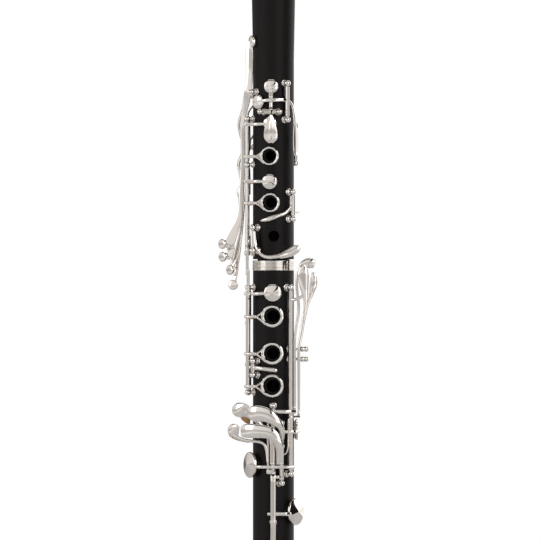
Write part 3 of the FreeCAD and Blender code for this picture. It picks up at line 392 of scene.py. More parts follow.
def ramp(tree, factor, stops):
    """Colour ramp through (position, colour) stops; a colour may be one grey number."""
    node = tree.nodes.new("ShaderNodeValToRGB")
    while len(node.color_ramp.elements) < len(stops):
        node.color_ramp.elements.new(0.5)
    for element, (position, colour) in zip(node.color_ramp.elements, stops):
        element.position = position
        element.color = (colour,) * 3 + (1,) if isinstance(colour, float) else tuple(colour) + (1,)
    tree.links.new(factor, node.inputs["Fac"])
    return node.outputs["Color"]


def mixed(tree, a, b, factor, kind="RGBA"):
    """Colour a multiplied by b, or number a blended with b, by factor."""
    node = tree.nodes.new("ShaderNodeMix")
    node.data_type = kind
    if kind == "RGBA":
        node.blend_type = "MULTIPLY"
    node.inputs["Factor"].default_value = factor
    tree.links.new(a, node.inputs["A"])
    tree.links.new(b, node.inputs["B"])
    return node.outputs["Result"]


def paint(tree, shader, socket, factor, stops):
    """A colour ramp into one of the shader's sockets."""
    tree.links.new(ramp(tree, factor, stops), shader.inputs[socket])


def bump(tree, shader, height, strength, distance):
    node = tree.nodes.new("ShaderNodeBump")
    node.inputs["Strength"].default_value = strength
    node.inputs["Distance"].default_value = distance
    tree.links.new(height, node.inputs["Height"])
    tree.links.new(node.outputs["Normal"], shader.inputs["Normal"])


def grenadilla():
    """Near-black oiled wood with fine grain and pores along the bore."""
    material, tree, shader = node_material("grenadilla_wood")
    grain = noise(tree, (2600, 2600, 60), detail=6.0)
    figure = noise(tree, (260, 260, 14), detail=3.0)
    brown = ramp(tree, figure, [(0.3, (0.0034, 0.0020, 0.0026)), (0.62, (0.0058, 0.0034, 0.0040)),
                                (0.8, (0.0090, 0.0056, 0.0056))])
    pores = ramp(tree, grain, [(0.3, 0.45), (0.55, 1.0), (0.8, 1.5)])
    tree.links.new(mixed(tree, brown, pores, 0.75), shader.inputs["Base Color"])
    paint(tree, shader, "Roughness", grain, [(0.25, 0.52), (0.7, 0.44)])
    shader.inputs["Specular IOR Level"].default_value = 0.2
    bump(tree, shader, grain, 0.12, 0.00004)
    return material


def ebonite():
    """Hard rubber of the mouthpiece, polished, with a faint brown cast."""
    material, tree, shader = node_material("ebonite_rubber")
    cloud = noise(tree, (140, 140, 90), detail=3.0)
    fine = noise(tree, (3200, 3200, 3200), detail=2.0)
    paint(tree, shader, "Base Color", cloud,
          [(0.3, (0.0075, 0.0070, 0.0070)), (0.75, (0.0150, 0.0125, 0.0110))])
    paint(tree, shader, "Roughness", fine, [(0.3, 0.14), (0.7, 0.22)])
    shader.inputs["Specular IOR Level"].default_value = 0.5
    bump(tree, shader, fine, 0.05, 0.00002)
    return material


def metal(name, bright, dull, rough_low, rough_high, scratch=(1500, 1500, 260)):
    """Polished plated metal: hairline polishing marks, soft handling haze and a trace of tarnish."""
    material, tree, shader = node_material(name)
    haze = noise(tree, (120, 120, 90), detail=4.0)
    hair = noise(tree, scratch, detail=5.0, roughness=0.7)
    shader.inputs["Metallic"].default_value = 1.0
    paint(tree, shader, "Base Color", haze, [(0.25, dull), (0.5, bright), (1.0, bright)])
    hazed = ramp(tree, haze, [(0.3, rough_high), (0.65, rough_low)])
    scratched = ramp(tree, hair, [(0.35, rough_low), (0.75, rough_high)])
    tree.links.new(mixed(tree, hazed, scratched, 0.5, "FLOAT"), shader.inputs["Roughness"])
    bump(tree, shader, hair, 0.05, 0.00002)
    return material


def lathe_metal():
    """Ring metal with the fine turning lines that a lathe leaves round it."""
    material, tree, shader = node_material("turned_ring_silver")
    lines = noise(tree, (30, 30, 5200), detail=3.0)
    haze = noise(tree, (110, 110, 110), detail=3.0)
    shader.inputs["Metallic"].default_value = 1.0
    paint(tree, shader, "Base Color", haze, [(0.25, (0.70, 0.66, 0.60)), (0.6, (0.90, 0.885, 0.86))])
    paint(tree, shader, "Roughness", lines, [(0.35, 0.10), (0.7, 0.20)])
    bump(tree, shader, lines, 0.12, 0.00003)
    return material


def cork():
    """Cork: pale brown cells with dark flecks."""
    material, tree, shader = node_material("cork_sheet")
    cell = tree.nodes.new("ShaderNodeTexVoronoi")
    cell.inputs["Scale"].default_value = 1.0
    tree.links.new(stretched(tree, (900, 900, 1300)), cell.inputs["Vector"])
    fleck = noise(tree, (700, 700, 900), detail=5.0, roughness=0.7)
    cells = ramp(tree, cell.outputs["Distance"], [(0.0, (0.62, 0.40, 0.22)), (0.7, (0.42, 0.24, 0.12))])
    flecks = ramp(tree, fleck, [(0.3, (0.25, 0.16, 0.10)), (0.45, (0.95, 0.9, 0.85)), (0.8, (1.0, 1.0, 1.0))])
    tree.links.new(mixed(tree, cells, flecks, 0.7), shader.inputs["Base Color"])
    shader.inputs["Roughness"].default_value = 0.85
    bump(tree, shader, fleck, 0.4, 0.0001)
    return material


def pad_skin():
    """Pad covered in thin membrane over felt."""
    material, tree, shader = node_material("pad_membrane")
    wrinkle = noise(tree, (900, 900, 900), detail=5.0)
    paint(tree, shader, "Base Color", wrinkle, [(0.3, (0.56, 0.47, 0.34)), (0.6, (0.74, 0.66, 0.52)),
          (0.85, (0.82, 0.76, 0.64))])
    paint(tree, shader, "Roughness", wrinkle, [(0.3, 0.55), (0.7, 0.4)])
    bump(tree, shader, wrinkle, 0.25, 0.00006)
    return material


def cane():
    """Reed cane: straw yellow with brown vascular fibres along its length."""
    material, tree, shader = node_material("reed_cane")
    fibre = noise(tree, (2600, 1200, 40), detail=5.0)
    tone = noise(tree, (120, 120, 30), detail=3.0)
    straw = ramp(tree, tone, [(0.3, (0.66, 0.50, 0.24)), (0.7, (0.80, 0.66, 0.36))])
    fibres = ramp(tree, fibre, [(0.3, (0.62, 0.45, 0.28)), (0.5, (0.95, 0.92, 0.85)),
                  (0.8, (1.0, 1.0, 0.96))])
    tree.links.new(mixed(tree, straw, fibres, 0.8), shader.inputs["Base Color"])
    shader.inputs["Roughness"].default_value = 0.5
    bump(tree, shader, fibre, 0.2, 0.00005)
    return material


WOOD = grenadilla()
EBONITE = ebonite()
SILVER = metal("key_plate", (0.94, 0.915, 0.89), (0.84, 0.79, 0.745), 0.03, 0.10)
RING_SILVER = lathe_metal()
STEEL = metal("rod_steel", (0.66, 0.65, 0.64), (0.52, 0.49, 0.45), 0.14, 0.28, (400, 400, 2600))
SPRING_STEEL = metal("blued_spring_steel", (0.11, 0.11, 0.13), (0.07, 0.065, 0.07), 0.2, 0.35,
                     (400, 400, 2600))
CORK = cork()
PAD = pad_skin()
CANE = cane()
SLOT_MATERIALS = {"grenadilla": WOOD, "ebonite": EBONITE, "cane": CANE, "key_silver": SILVER,
                  "ring_silver": RING_SILVER, "steel": STEEL, "pad_skin": PAD, "cork": CORK}


def dress_cad_nodes():
    """Every CAD node takes the finish of the record's slot that it was given."""
    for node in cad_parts.values():
        for index, given in enumerate(node.data.materials):
            node.data.materials[index] = SLOT_MATERIALS[given.name.split(".")[0]]


# ---------- upper-joint keys
def upper_ring_key(hole_cup, ring, cup_arm_z, ring_arm_z, low, high):
    """Shells of a ring and its cup, both standing open, on their length of the left-hand tube."""
    shells = [cup(*hole_cup), finger_ring(*ring),
              cup_arm(UPPER_LEFT, UPPER_CUP_BEND, hole_cup[0], cup_arm_z, hole_cup[1])]
    shells += ring_arm(UPPER_LEFT, UPPER_RING_BEND, ring[0], ring_arm_z, ring[2])
    swing = opened(UPPER_LEFT, 1, RING_SWING)
    return [moved(s, swing) for s in shells] + [tube(UPPER_LEFT, low, high)]


def upper_left_keys():
    """First-finger and second-finger ring keys; the second has the bridge bar."""
    silver_key("lh1_ring_key", upper_ring_key(LH1_CUP, LH1_RING, 431.8, 409.3, 406.1, 433.4))
    shells = upper_ring_key(LH2_CUP, LH2_RING, 391.9, 376.8, 344.2, 401.3)
    x, y = UPPER_LEFT
    bar(shells, [
        (x, y - 1.3, 346.4, 2.3, 2), (x, y - 3.2, 346.4, 2.2, 2), (x, y - 4.4, 344.6, 2.2, 1.6),
        (x, y - 4.4, 336, 2.2, 1.5), (x, y - 4.4, 327.2, 2.4, 1.5)], face=(0, -1, 0.001), power=3)
    silver_key("lh2_ring_key", shells)
    corks = [arm_cork(UPPER_LEFT, UPPER_CUP_BEND, 391.9, 0.75),
             arm_cork(UPPER_LEFT, UPPER_RING_BEND, 376.8, 0.9)]
    swing = opened(UPPER_LEFT, 1, RING_SWING)
    make("lh2_arm_corks", "lh2_ring_key_body", [moved(c, swing) for c in corks], CORK)


def thumb_ring():
    shells = [finger_ring(*THUMB_RING)]
    start = wall(THUMB_LINE, (12.0, 13.3), THUMB_Z)
    for side in (-1, 1):
        meet = Vector((4.4, 15.4, THUMB_Z + side * 4.6))
        bar(shells, [
            (*start, 2.2, 1.5), (11.6, 13.7, THUMB_Z, 2, 1.4), (8.6, 15.1, THUMB_Z + side * 1.4, 1.5, 1.3),
            (*meet, 1.4, 1.3)], power=2.6)
    bar(shells, [
        (10.6, 14.3, THUMB_Z, 1.4, 0.6), (8, 15.2, THUMB_Z, 3.6, 0.6), (6.2, 15.6, THUMB_Z, 6.2, 0.6)],
        power=4)
    shells = [moved(s, opened(THUMB_LINE, 1, THUMB_SWING)) for s in shells]
    shells.append(tube(THUMB_LINE, THUMB_Z - 10.6, THUMB_Z + 10.6))
    silver_key("thumb_ring_key", shells, "thumb_ring_silver", "thumb_ring_body")


def a_key():
    """A key: cup above a cross hinge, adjusting screw on its arm, ridged teardrop touch below."""
    x = A_HINGE[0] + 0.8
    shells = [cup(*A_CUP), cross_tube(A_HINGE, (1, 0, 0), 4.2, 1.9)]
    bar(shells, [
        (x, -19.3, 440.9, 2.8, 1.1), (x, -17.9, 443.2, 2.3, 1.4), (x, -17.1, 447, 2.2, 1.4),
        (x, -16.9, 451.5, 2.9, 1.6), (x, -17.9, 454.6, 2.4, 1.4), (x + 0.1, -18.3, 458.6, 0.9, 0.8)],
        face=FRONT, power=2.8)
    bar(shells, [
        (x, -19.4, 441.4, 2.6, 1.2), (x, -20.4, 439, 1.6, 1.4), (x, -20.9, 436.6, 3.4, 1.7),
        (x, -21.1, 432.6, 6.6, 1.9), (x, -21.2, 427.6, 9.3, 2), (x, -21.1, 423.6, 9.7, 1.9),
        (x, -20.9, 420.8, 8, 1.6), (x, -20.7, 419.2, 4.4, 1.2)], face=FRONT, power=2, ridge=True,
        segments=40)
    screw = [(0, 0), (1.15, 0), (1.25, 0.3), (1.25, 1.3), (1, 1.6), (0.28, 1.6), (0.28, 1.3), (0, 1.3)]
    shells.append(lathe(screw, along((x, -17.3, 453.0), (0, -1, 0)), segments=28))
    silver_key("a_key", shells)


def g_sharp_key():
    """G sharp key: arm across to its cup on the left, touch down the right side."""
    end = polar(-40.0, CUP_LOW + CUP_T + 0.4, 447.8)
    shells = [cup(*G_SHARP_CUP), tube(G_SHARP_LINE, 437.5, 458.0)]
    bar(shells, [
        (*wall(G_SHARP_LINE, (6, -18), 448.8), 2.8, 1.5), (6.2, -17.9, 448.9, 2.4, 1.4),
        (0.6, -19.4, 448.7, 2.5, 1.2), (-5.6, -18.6, 448.4, 2.2, 1.2), (*end, 1.1, 0.8)], power=2.8)
    normal = polar(56.0, 1)
    bar(shells, [
        (11.2, -14.7, 447.6, 2.2, 1.7), (13.2, -13.3, 444.4, 2.3, 1.6), (14.4, -12.2, 438, 2.4, 1.5),
        (14.9, -11.4, 432, 3, 1.6), (15.3, -10.6, 426.6, 5.2, 1.7), (15.5, -10.2, 420, 6.2, 1.8),
        (15.5, -10.2, 414, 5.6, 1.7), (15.4, -10.3, 410.4, 3.4, 1.4)], face=tuple(normal), power=2.3,
        segments=28)
    silver_key("g_sharp_key", shells)


def left_hand_sliver():
    """Sliver key between the second and third holes; its arm goes round to a cup behind."""
    shells = [cup(*LH_SLIVER_CUP), tube(UPPER_SLIVER_LINE, 368.2, 382.1)]
    end = polar(LH_SLIVER_CUP[0], 18.2, LH_SLIVER_CUP[1])
    bar(shells, [
        (*wall(UPPER_SLIVER_LINE, (16.6, -6), 371.4), 2.4, 1.3), (17.4, -6.4, 371.3, 2.3, 1.2),
        (18.5, 1.4, 371.2, 2.3, 1.2), (15.8, 9.4, 371.2, 2.1, 1.2), (*end, 1.2, 0.8)], power=2.8)
    front = ((-31.5, 17, 364.4, 0.7, 0.7), (-24, 17.1, 364.8, 2.2, 1.5), (-13, 17.2, 365.5, 3.2, 1.9),
             (0, 17.3, 366.7, 3, 1.9), (13, 17.3, 368.1, 2.3, 1.7), (27, 17.5, 369.6, 2.2, 1.7),
             (38, 17.9, 372.6, 2.3, 1.8), (44, 18.2, 376.4, 2.2, 1.8), (46, 18.4, 380, 2.2, 1.8))
    bar(shells, [(*polar(a, r, z), w, t) for a, r, z, w, t in front], power=2.2)
    bar(shells, [
        (12, -14, 371.8, 1.2, 1.2), (11.9, -14.1, 376, 1.2, 1.2), (12.1, -14, 381.4, 1.2, 1.2)], power=2.4)
    silver_key("lh_sliver_key", shells, "lh_sliver_silver")


def c_sharp_key():
    """C sharp key: a stem that curves across the front to two stacked leaves, cup at the back left."""
    shells = [cup(*C_SHARP_CUP), tube(C_SHARP_LINE, 346.0, 357.3)]
    end = polar(C_SHARP_CUP[0], 18.0, C_SHARP_CUP[1])
    bar(shells, [
        (*wall(C_SHARP_LINE, (-15, -6), 350), 2.4, 1), (-15.1, -7.4, 350, 2.3, 1),
        (-15.6, -2.6, 350, 2.3, 1), (-16.8, 3.2, 350, 2, 1), (*end, 1.2, 0.8)], power=2.8)
    bar(shells, [
        (-13.2, -13.1, 356.4, 1.9, 1.5), (-12.9, -13.4, 352, 2, 1.5), (-12.3, -13.9, 347.6, 2.1, 1.6),
        (-11, -14.8, 344.2, 2.1, 1.7), (-8.6, -15.1, 340.8, 2.2, 1.8), (-4.2, -16.5, 339, 2.5, 1.8),
        (1.2, -17, 339.3, 2.7, 1.8), (5.6, -16.5, 340.4, 3.2, 1.9), (9.6, -15.9, 341.9, 4.6, 1.8),
        (13.4, -15.6, 343.6, 5.6, 1.7), (16.4, -15.5, 345, 5.4, 1.6), (17.9, -15.4, 345.7, 3.6, 1.3)],
        face=((-0.5, -0.87, 0), (0.25, -0.97, 0)), power=2.3, segments=28)
    bar(shells, [
        (4.6, -15.6, 338.7, 1.4, 1), (9, -15.1, 339.6, 2.2, 1.1), (13.6, -14.6, 341.2, 2.8, 1.1),
        (17, -14.3, 343.2, 2.2, 0.9)], face=(0.25, -0.97, 0), power=2.3)
    silver_key("c_sharp_key", shells)


def register_key():
    """Register key up the middle of the back."""
    shells = [cup(*REGISTER_CUP), cross_tube(REGISTER_HINGE, (1, 0, 0), 3.8, 1.7)]
    bar(shells, [
        (0, 19.6, 470, 3.4, 1.2), (0, 18.4, 474, 2.8, 1.4), (0, 17.9, 486, 2.6, 1.4),
        (0, 17.9, 498, 2.6, 1.4), (0, 18.4, 501.6, 2.4, 1.2), (0, 18.5, 505.4, 1.2, 0.8)], face=(0, 1, 0),
        power=2.8)
    bar(shells, [
        (0, 19.7, 470.4, 3.2, 1.2), (0, 20.4, 464, 2.7, 1.7), (0, 20.7, 454, 2.5, 1.8),
        (0, 20.7, 445, 2.6, 1.8), (0, 20.8, 440.4, 4.4, 1.7), (0, 20.8, 435.6, 7.6, 1.8),
        (0, 20.8, 431.6, 8.2, 1.8), (0, 20.7, 428.4, 6.6, 1.6), (0, 20.6, 426.9, 3.6, 1.2)], face=(0, 1, 0),
        power=2.2, segments=28)
    silver_key("register_key", shells)


# hinge centre, direction of the hinge, cup azimuth and height, then lever rows (x, y, z, width, thickness),
# the two directions that the lever's face looks along, and the touch's centre and direction
TRILLS = {
    "trill_1": ((-122, 416, -118), (-147, 434), [
        (-18.2, 12.4, 407, 2.6, 1.5), (-20.4, 10.7, 384, 2.6, 1.4), (-22.2, 10.3, 360, 2.8, 1.4),
        (-24.4, 9.8, 342, 3.4, 1.4), (-26.2, 9.2, 328, 3.4, 1.4), (-27.6, 8.8, 321.4, 2.8, 1.3)],
        ((-0.85, 0.2, 0), (-0.35, -0.9, 0)), (-28.2, 8.6, 319.5), (-0.3, -0.95, 0.05)),
    "trill_2": ((-108, 434, -106), (-140, 453), [
        (-20.2, 7.4, 424, 2.6, 1.5), (-21.4, 7, 392, 2.6, 1.4), (-23, 7, 362, 2.8, 1.4),
        (-25.6, 6.8, 346, 4.6, 1.4), (-27.8, 6.5, 336, 4.4, 1.3), (-29.2, 6.2, 331.6, 2.6, 1.2)],
        ((-0.9, -0.1, 0), (-0.4, -0.9, 0)), (-30.4, 6, 330), (-0.72, -0.69, 0)),
    "trill_3": ((-104, 452, -100), (-124, 476), [
        (-22, 3.6, 441, 2.6, 1.4), (-24.2, 3.4, 431.5, 2.4, 1.5), (-21.8, 3.4, 419, 2.4, 1.4),
        (-22, 3.4, 411.5, 2.4, 1.4), (-24.4, 3.4, 404.6, 2.4, 1.6), (-23.4, 3.4, 398, 2.4, 1.4),
        (-22.2, 3.4, 390.5, 2.4, 1.4), (-24.4, 3.4, 384.8, 2.4, 1.6), (-23.4, 3.4, 379, 2.4, 1.4),
        (-23.9, 3.5, 368.6, 2.8, 1.4), (-27.2, 3.7, 356, 5.4, 1.4), (-29.8, 3.6, 345, 6.6, 1.3),
        (-30.8, 3.4, 338.6, 6.6, 1.2)],
        ((-0.6, -0.8, 0), (-0.25, -0.97, 0)), (-35.6, 3, 339.2), (-0.72, -0.69, 0)),
    "trill_4": ((-68, 454.6, -78), (-68, 489.6), [
        (-18.8, -4.4, 448.6, 5.2, 1.4), (-20.2, -2.6, 441.6, 4.2, 1.4), (-21.5, -1.2, 434, 3.1, 1.4),
        (-21.6, -0.8, 424, 3, 1.4), (-21.5, -0.6, 406, 2.9, 1.4), (-22.4, -0.6, 388, 2.9, 1.4),
        (-23.2, -0.8, 372, 3.2, 1.4), (-24.6, -0.9, 364, 4.6, 1.4), (-27.6, -1, 356, 7, 1.4),
        (-30.2, -1.2, 349.6, 8.2, 1.3), (-31.2, -1.2, 346.2, 7.8, 1.2)],
        ((-0.4, -0.92, 0), (-0.15, -0.99, 0)), (-35.8, -1.8, 348.2), (-0.72, -0.69, 0)),
}


def trill_key(name):
    """Side key: cup, cross hinge and a long strap that ends in a round touch."""
    (azimuth, z, square), (cup_azimuth, cup_z), rows, looks, touch, normal = TRILLS[name]
    hinge = polar(azimuth, TRILL_HINGE_R, z)
    wide = name == "trill_4"
    face = looks[0] if wide else tuple(polar(azimuth, 1))
    top = CUP_LOW + CUP_T + 0.5
    head = polar(cup_azimuth, top, cup_z + 0.5)
    near = polar(cup_azimuth, top, cup_z - 5.5)
    between = polar((azimuth + cup_azimuth) / 2, 18.0, (z + cup_z) / 2)
    width, hub_r = (5.2, 2.3) if wide else (2.8, 1.7)
    over = polar(azimuth, 19.4, z)
    shells = [cup(cup_azimuth, cup_z, TRILL_CUP_R), cross_tube(hinge, sideways(square), 2, hub_r)]
    bar(shells, [
        (*head, 1.2, 0.8), (*near, width, 1.3), (*between, width, 1.4),
        (*polar(azimuth, 18.6, z + 5), width, 1.4), (*over, width, 1.2)] + rows, face=(face, looks[1]),
        power=3.6, segments=24, steps=6)
    r = TRILL_TOUCH_R
    disc = [(0, -0.9), (r - 0.4, -0.9), (r - 0.1, -0.7), (r, -0.2), (r, 0.3), (r - 0.2, 0.62), (r - 0.6, 0.8),
            (2, 0.92), (0, 1)]
    shells.append(lathe(disc, along(touch, normal), segments=40))
    last = Vector(rows[-1][:3])
    bar(shells, [
        (*last, 3, 1.2), (*last.lerp(Vector(touch), 0.5), 2.4, 1.2), (*touch, 1.8, 0.9)], face=looks[1],
        power=3)
    silver_key(name + "_key", shells, body=name + "_body")


# ---------- lower-joint keys
def right_hand_rings():
    """Three finger rings and a cup on one long tube, and the bridge bar to the upper joint."""
    swing = opened(LOWER_LEFT, 1, RING_SWING)
    shells = [cup(*RH_CUP), cup_arm(LOWER_LEFT, LOWER_CUP_BEND, RH_CUP[0], 313.4, RH_CUP[1])]
    for azimuth, z, r_out, r_in in RH_RINGS:
        shells.append(finger_ring(azimuth, z, r_out, r_in))
        shells += ring_arm(LOWER_LEFT, LOWER_RING_BEND, azimuth, z - 0.4, r_out, web=False)
    shells = [moved(s, swing) for s in shells] + [tube(LOWER_LEFT, 246.9, 315.5)]
    x, y = LOWER_LEFT
    bar(shells, [
        (x, y - 1.3, 310.4, 2.2, 2), (x, y - 4, 310.4, 2.2, 2), (x, y - 5.6, 312, 2.2, 1.6),
        (x, y - 5.6, 320, 2.2, 1.5), (x, y - 5.6, 330.2, 2.2, 1.5)], face=(0, -1, 0.001), power=3)
    for z in (293.0, 264.0):
        bar(shells, [
            (x - 1.2, y, z + 1.6, 1.2, 0.7), (x - 2, y, z, 1.2, 0.9), (x - 1.2, y, z - 1.6, 1.2, 0.7)],
            face=(-1, 0, 0), power=2.4)
    silver_key("rh_ring_key", shells)
    corks = [arm_cork(LOWER_LEFT, LOWER_RING_BEND, ring[1] - 0.4, 0.9) for ring in RH_RINGS[:2]]
    make("rh_arm_corks", "rh_ring_key_body", [moved(c, swing) for c in corks], CORK)


def right_hand_sliver():
    """Short bar between the second and third rings; its arm goes back to a cup on the left."""
    shells = [cup(*RH_SLIVER_CUP), tube(LOWER_SLIVER_LINE, 258.8, 264.2)]
    end = polar(RH_SLIVER_CUP[0], 18.0, RH_SLIVER_CUP[1])
    bar(shells, [
        (*wall(LOWER_SLIVER_LINE, (-15, -6), 262), 2.3, 1), (-14.8, -7.2, 262, 2.2, 0.8),
        (-15.1, -2.8, 262, 2.2, 0.8), (-16.2, 1.4, 262, 2, 0.9), (*end, 1.2, 0.8)], power=2.8)
    bar(shells, [
        (-13.4, -13, 261.7, 2.9, 2), (-11.2, -13.7, 261.5, 2.8, 2.1), (-7.6, -15.6, 261, 2.7, 2.1),
        (-3.4, -16.7, 260.5, 2.8, 2.1), (0.2, -17.1, 260.1, 2.9, 2.1), (1.8, -17, 259.9, 2.6, 1.9)],
        power=2.6)
    silver_key("rh_sliver_key", shells, "rh_sliver_silver")


def rocking_lever(name, x, pivot_z, rows):
    """Lever on a cross hinge beside the long right-hand tube."""
    shells = [cross_tube((x, PIVOT_Y, pivot_z), (1, 0, 0), 1.1, 1.7)]
    bar(shells, rows, face=FRONT, power=2.3, segments=28)
    hub = [(x, -12.6, pivot_z, 3.0, 1.8), (x, -11.4, pivot_z, 3.0, 1.8)]
    bar(shells, hub, face=(1, 0, 0), power=3)
    silver_key(name, shells)


def left_hand_levers():
    """The three left little-finger levers: F sharp on the long tube, E and F rocking beside it."""
    x, y = LONG_RIGHT
    shells = [tube(LONG_RIGHT, 189.9, 315.4)]
    bar(shells, [
        (21.3, y - 3.3, 293.6, 0.9, 0.9), (21.9, y - 3.4, 299, 1.8, 1.2), (22.3, y - 3.6, 305, 2.4, 1.4),
        (22.3, y - 3.7, 310, 3.2, 1.9), (21.8, y - 3.8, 315, 5, 2.3), (21.1, y - 3.8, 321, 7, 2.6),
        (20.8, y - 3.8, 327, 7.6, 2.7), (20.8, y - 3.8, 331, 6, 2.3), (20.9, y - 3.7, 333.2, 3.4, 1.6)],
        face=FRONT, power=2.2, segments=32)
    bar(shells, [
        (*wall(LONG_RIGHT, (14, -17), 309), 2.2, 2), (15.2, y - 2.4, 309.4, 2.2, 2),
        (18.4, y - 3, 310.6, 2.2, 1.4), (20.4, y - 3.3, 312, 1.8, 1.2)], face=FRONT, power=2.4)
    shells.append(round_bar([
        (x - 0.9, y - 1, 192.4), (x - 2.2, y - 2.6, 192.4), (x - 3.2, y - 4, 192.4)], 0.9))
    silver_key("lh_f_sharp_lever", shells)

    x = E_LEVER_X
    rocking_lever("lh_e_lever", x, E_PIVOT_Z, [
        (x, -14.9, 231, 1.9, 1.5), (x, -13.2, 233.6, 1.9, 1.7), (x, -13, 240, 1.9, 1.8),
        (x, -13, 262, 1.9, 1.8), (x, -13, 280, 1.9, 1.8), (15.9, -12.8, 289, 2, 1.7),
        (17.3, -12.7, 298, 2, 1.7), (17.6, -12.6, 306, 2, 1.6), (16.6, -12.6, 316, 2, 1.6),
        (16.4, -12.5, 324, 2, 1.5), (18, -12.4, 330.6, 2.8, 1.5), (21.4, -12.4, 334, 5.4, 2.2),
        (25.2, -12.4, 334.8, 7.4, 2.4), (28, -12.4, 334.2, 6, 1.8)])

    x = F_LEVER_X
    rocking_lever("lh_f_lever", x, F_PIVOT_Z, [
        (x, -14.7, 227.6, 1.8, 1.5), (x, -13.2, 230.6, 1.8, 1.7), (x, -13, 238, 1.8, 1.8),
        (x, -13, 258, 2, 1.8), (17.8, -13, 275, 2.2, 1.8), (19.4, -13, 285, 2.6, 1.7),
        (21.4, -12.6, 297, 2.8, 1.6), (24, -12.2, 307, 2.4, 1.5), (26.2, -12, 313, 3.6, 1.6),
        (27.8, -12, 319, 5.2, 2.3), (28.2, -12, 324, 4.6, 2.1), (27.9, -12, 327.6, 2.6, 1.3)])


def low_e_key():
    """E/B key: big low cup, front bar, side rod, outermost touch and the bar to the left-hand lever."""
    x, y = CENTRE_LINE
    shells = [cup(*E_CUP, BIG_RISE), cup_arm(CENTRE_LINE, (-9.0, -17.4), E_CUP[0], E_CUP[1], E_CUP[1], 2.8)]
    shells = [moved(s, opened(CENTRE_LINE, -1, BIG_CUP_SWING)) for s in shells]
    shells += [tube(CENTRE_LINE, 111.1, 151.1), tube(CENTRE_LINE, 226.2, 232.7),
               tube(CENTRE_LINE, 187.0, 190.9)]
    shells.append(round_bar([(x - 3.6, y + 0.6, z) for z in (188.6, 200, 214, 228)], 0.8))
    for z, h in ((189.0, 3.2), (228.0, 2.4)):
        bar(shells, [
            (x - 3.9, y + 0.5, z, h, 1.6), (x - 2.6, y + 0.5, z, h, 1.6), (x - 1.5, y + 0.3, z, h, 1.6)],
            face=FRONT, power=3.2)
    bar(shells, [
        (x, y - 1.4, 189.4, 3.6, 1.2), (x, y - 2.8, 187.6, 3.6, 1.8), (x, y - 3.8, 184.8, 3.6, 2),
        (x, y - 4, 180, 3.7, 2.2), (x, y - 4, 170, 3.7, 2.2), (x, y - 4, 158, 3.7, 2.2),
        (x, y - 3.9, 152, 3.7, 2), (x, y - 3.2, 147, 3.7, 1.8), (x, y - 2.2, 142, 3.7, 1.6),
        (x, y - 1.6, 137, 3.4, 1.2)], face=FRONT, power=3.4, segments=28)
    bar(shells, [
        (-31.2, -8.9, 217.8, 5, 1.4), (-30.2, -9.7, 217.8, 7.8, 2), (-28.4, -11, 217.7, 9.6, 2.4),
        (-26.4, -12.1, 217.3, 9.8, 2.2), (-24.9, -12.7, 216.9, 8.6, 1.4)], power=2.2, segments=28)
    bar(shells, [
        (-27.4, -11.8, 214, 3.2, 1.8), (-24.2, -13, 212.6, 3, 2), (-20, -14.6, 211.2, 2.5, 2.1),
        (-15, -16, 210.5, 2.2, 2.1), (-9.6, -17, 209.9, 2.1, 2), (-6.2, -17.7, 208, 2.1, 1.8),
        (-4.6, -17.9, 203, 2, 1.6), (-4, -17.8, 196, 1.8, 1.6)], power=2.2, segments=24)
    bar(shells, [
        (x + 0.9, y - 1.2, 231, 2.6, 1.4), (4, -20.2, 231, 2.7, 1.6), (8, -20.6, 231, 2.7, 1.6),
        (12, -19.4, 231, 2.7, 1.6), (15.2, -17.4, 231, 2.6, 1.5)], power=2.6)
    silver_key("rh_e_key", shells)
    cork_strip = sweep([
        (-30.4, -9, 214.6, 1.8, 1.4), (-27.4, -11, 212.9, 2.2, 1.4), (-23, -12.8, 211.2, 1.8, 1.4),
        (-17.6, -14.6, 210, 1.4, 1.2)], power=2.6)
    make("rh_e_touch_cork", "rh_e_key_body", [cork_strip], CORK)


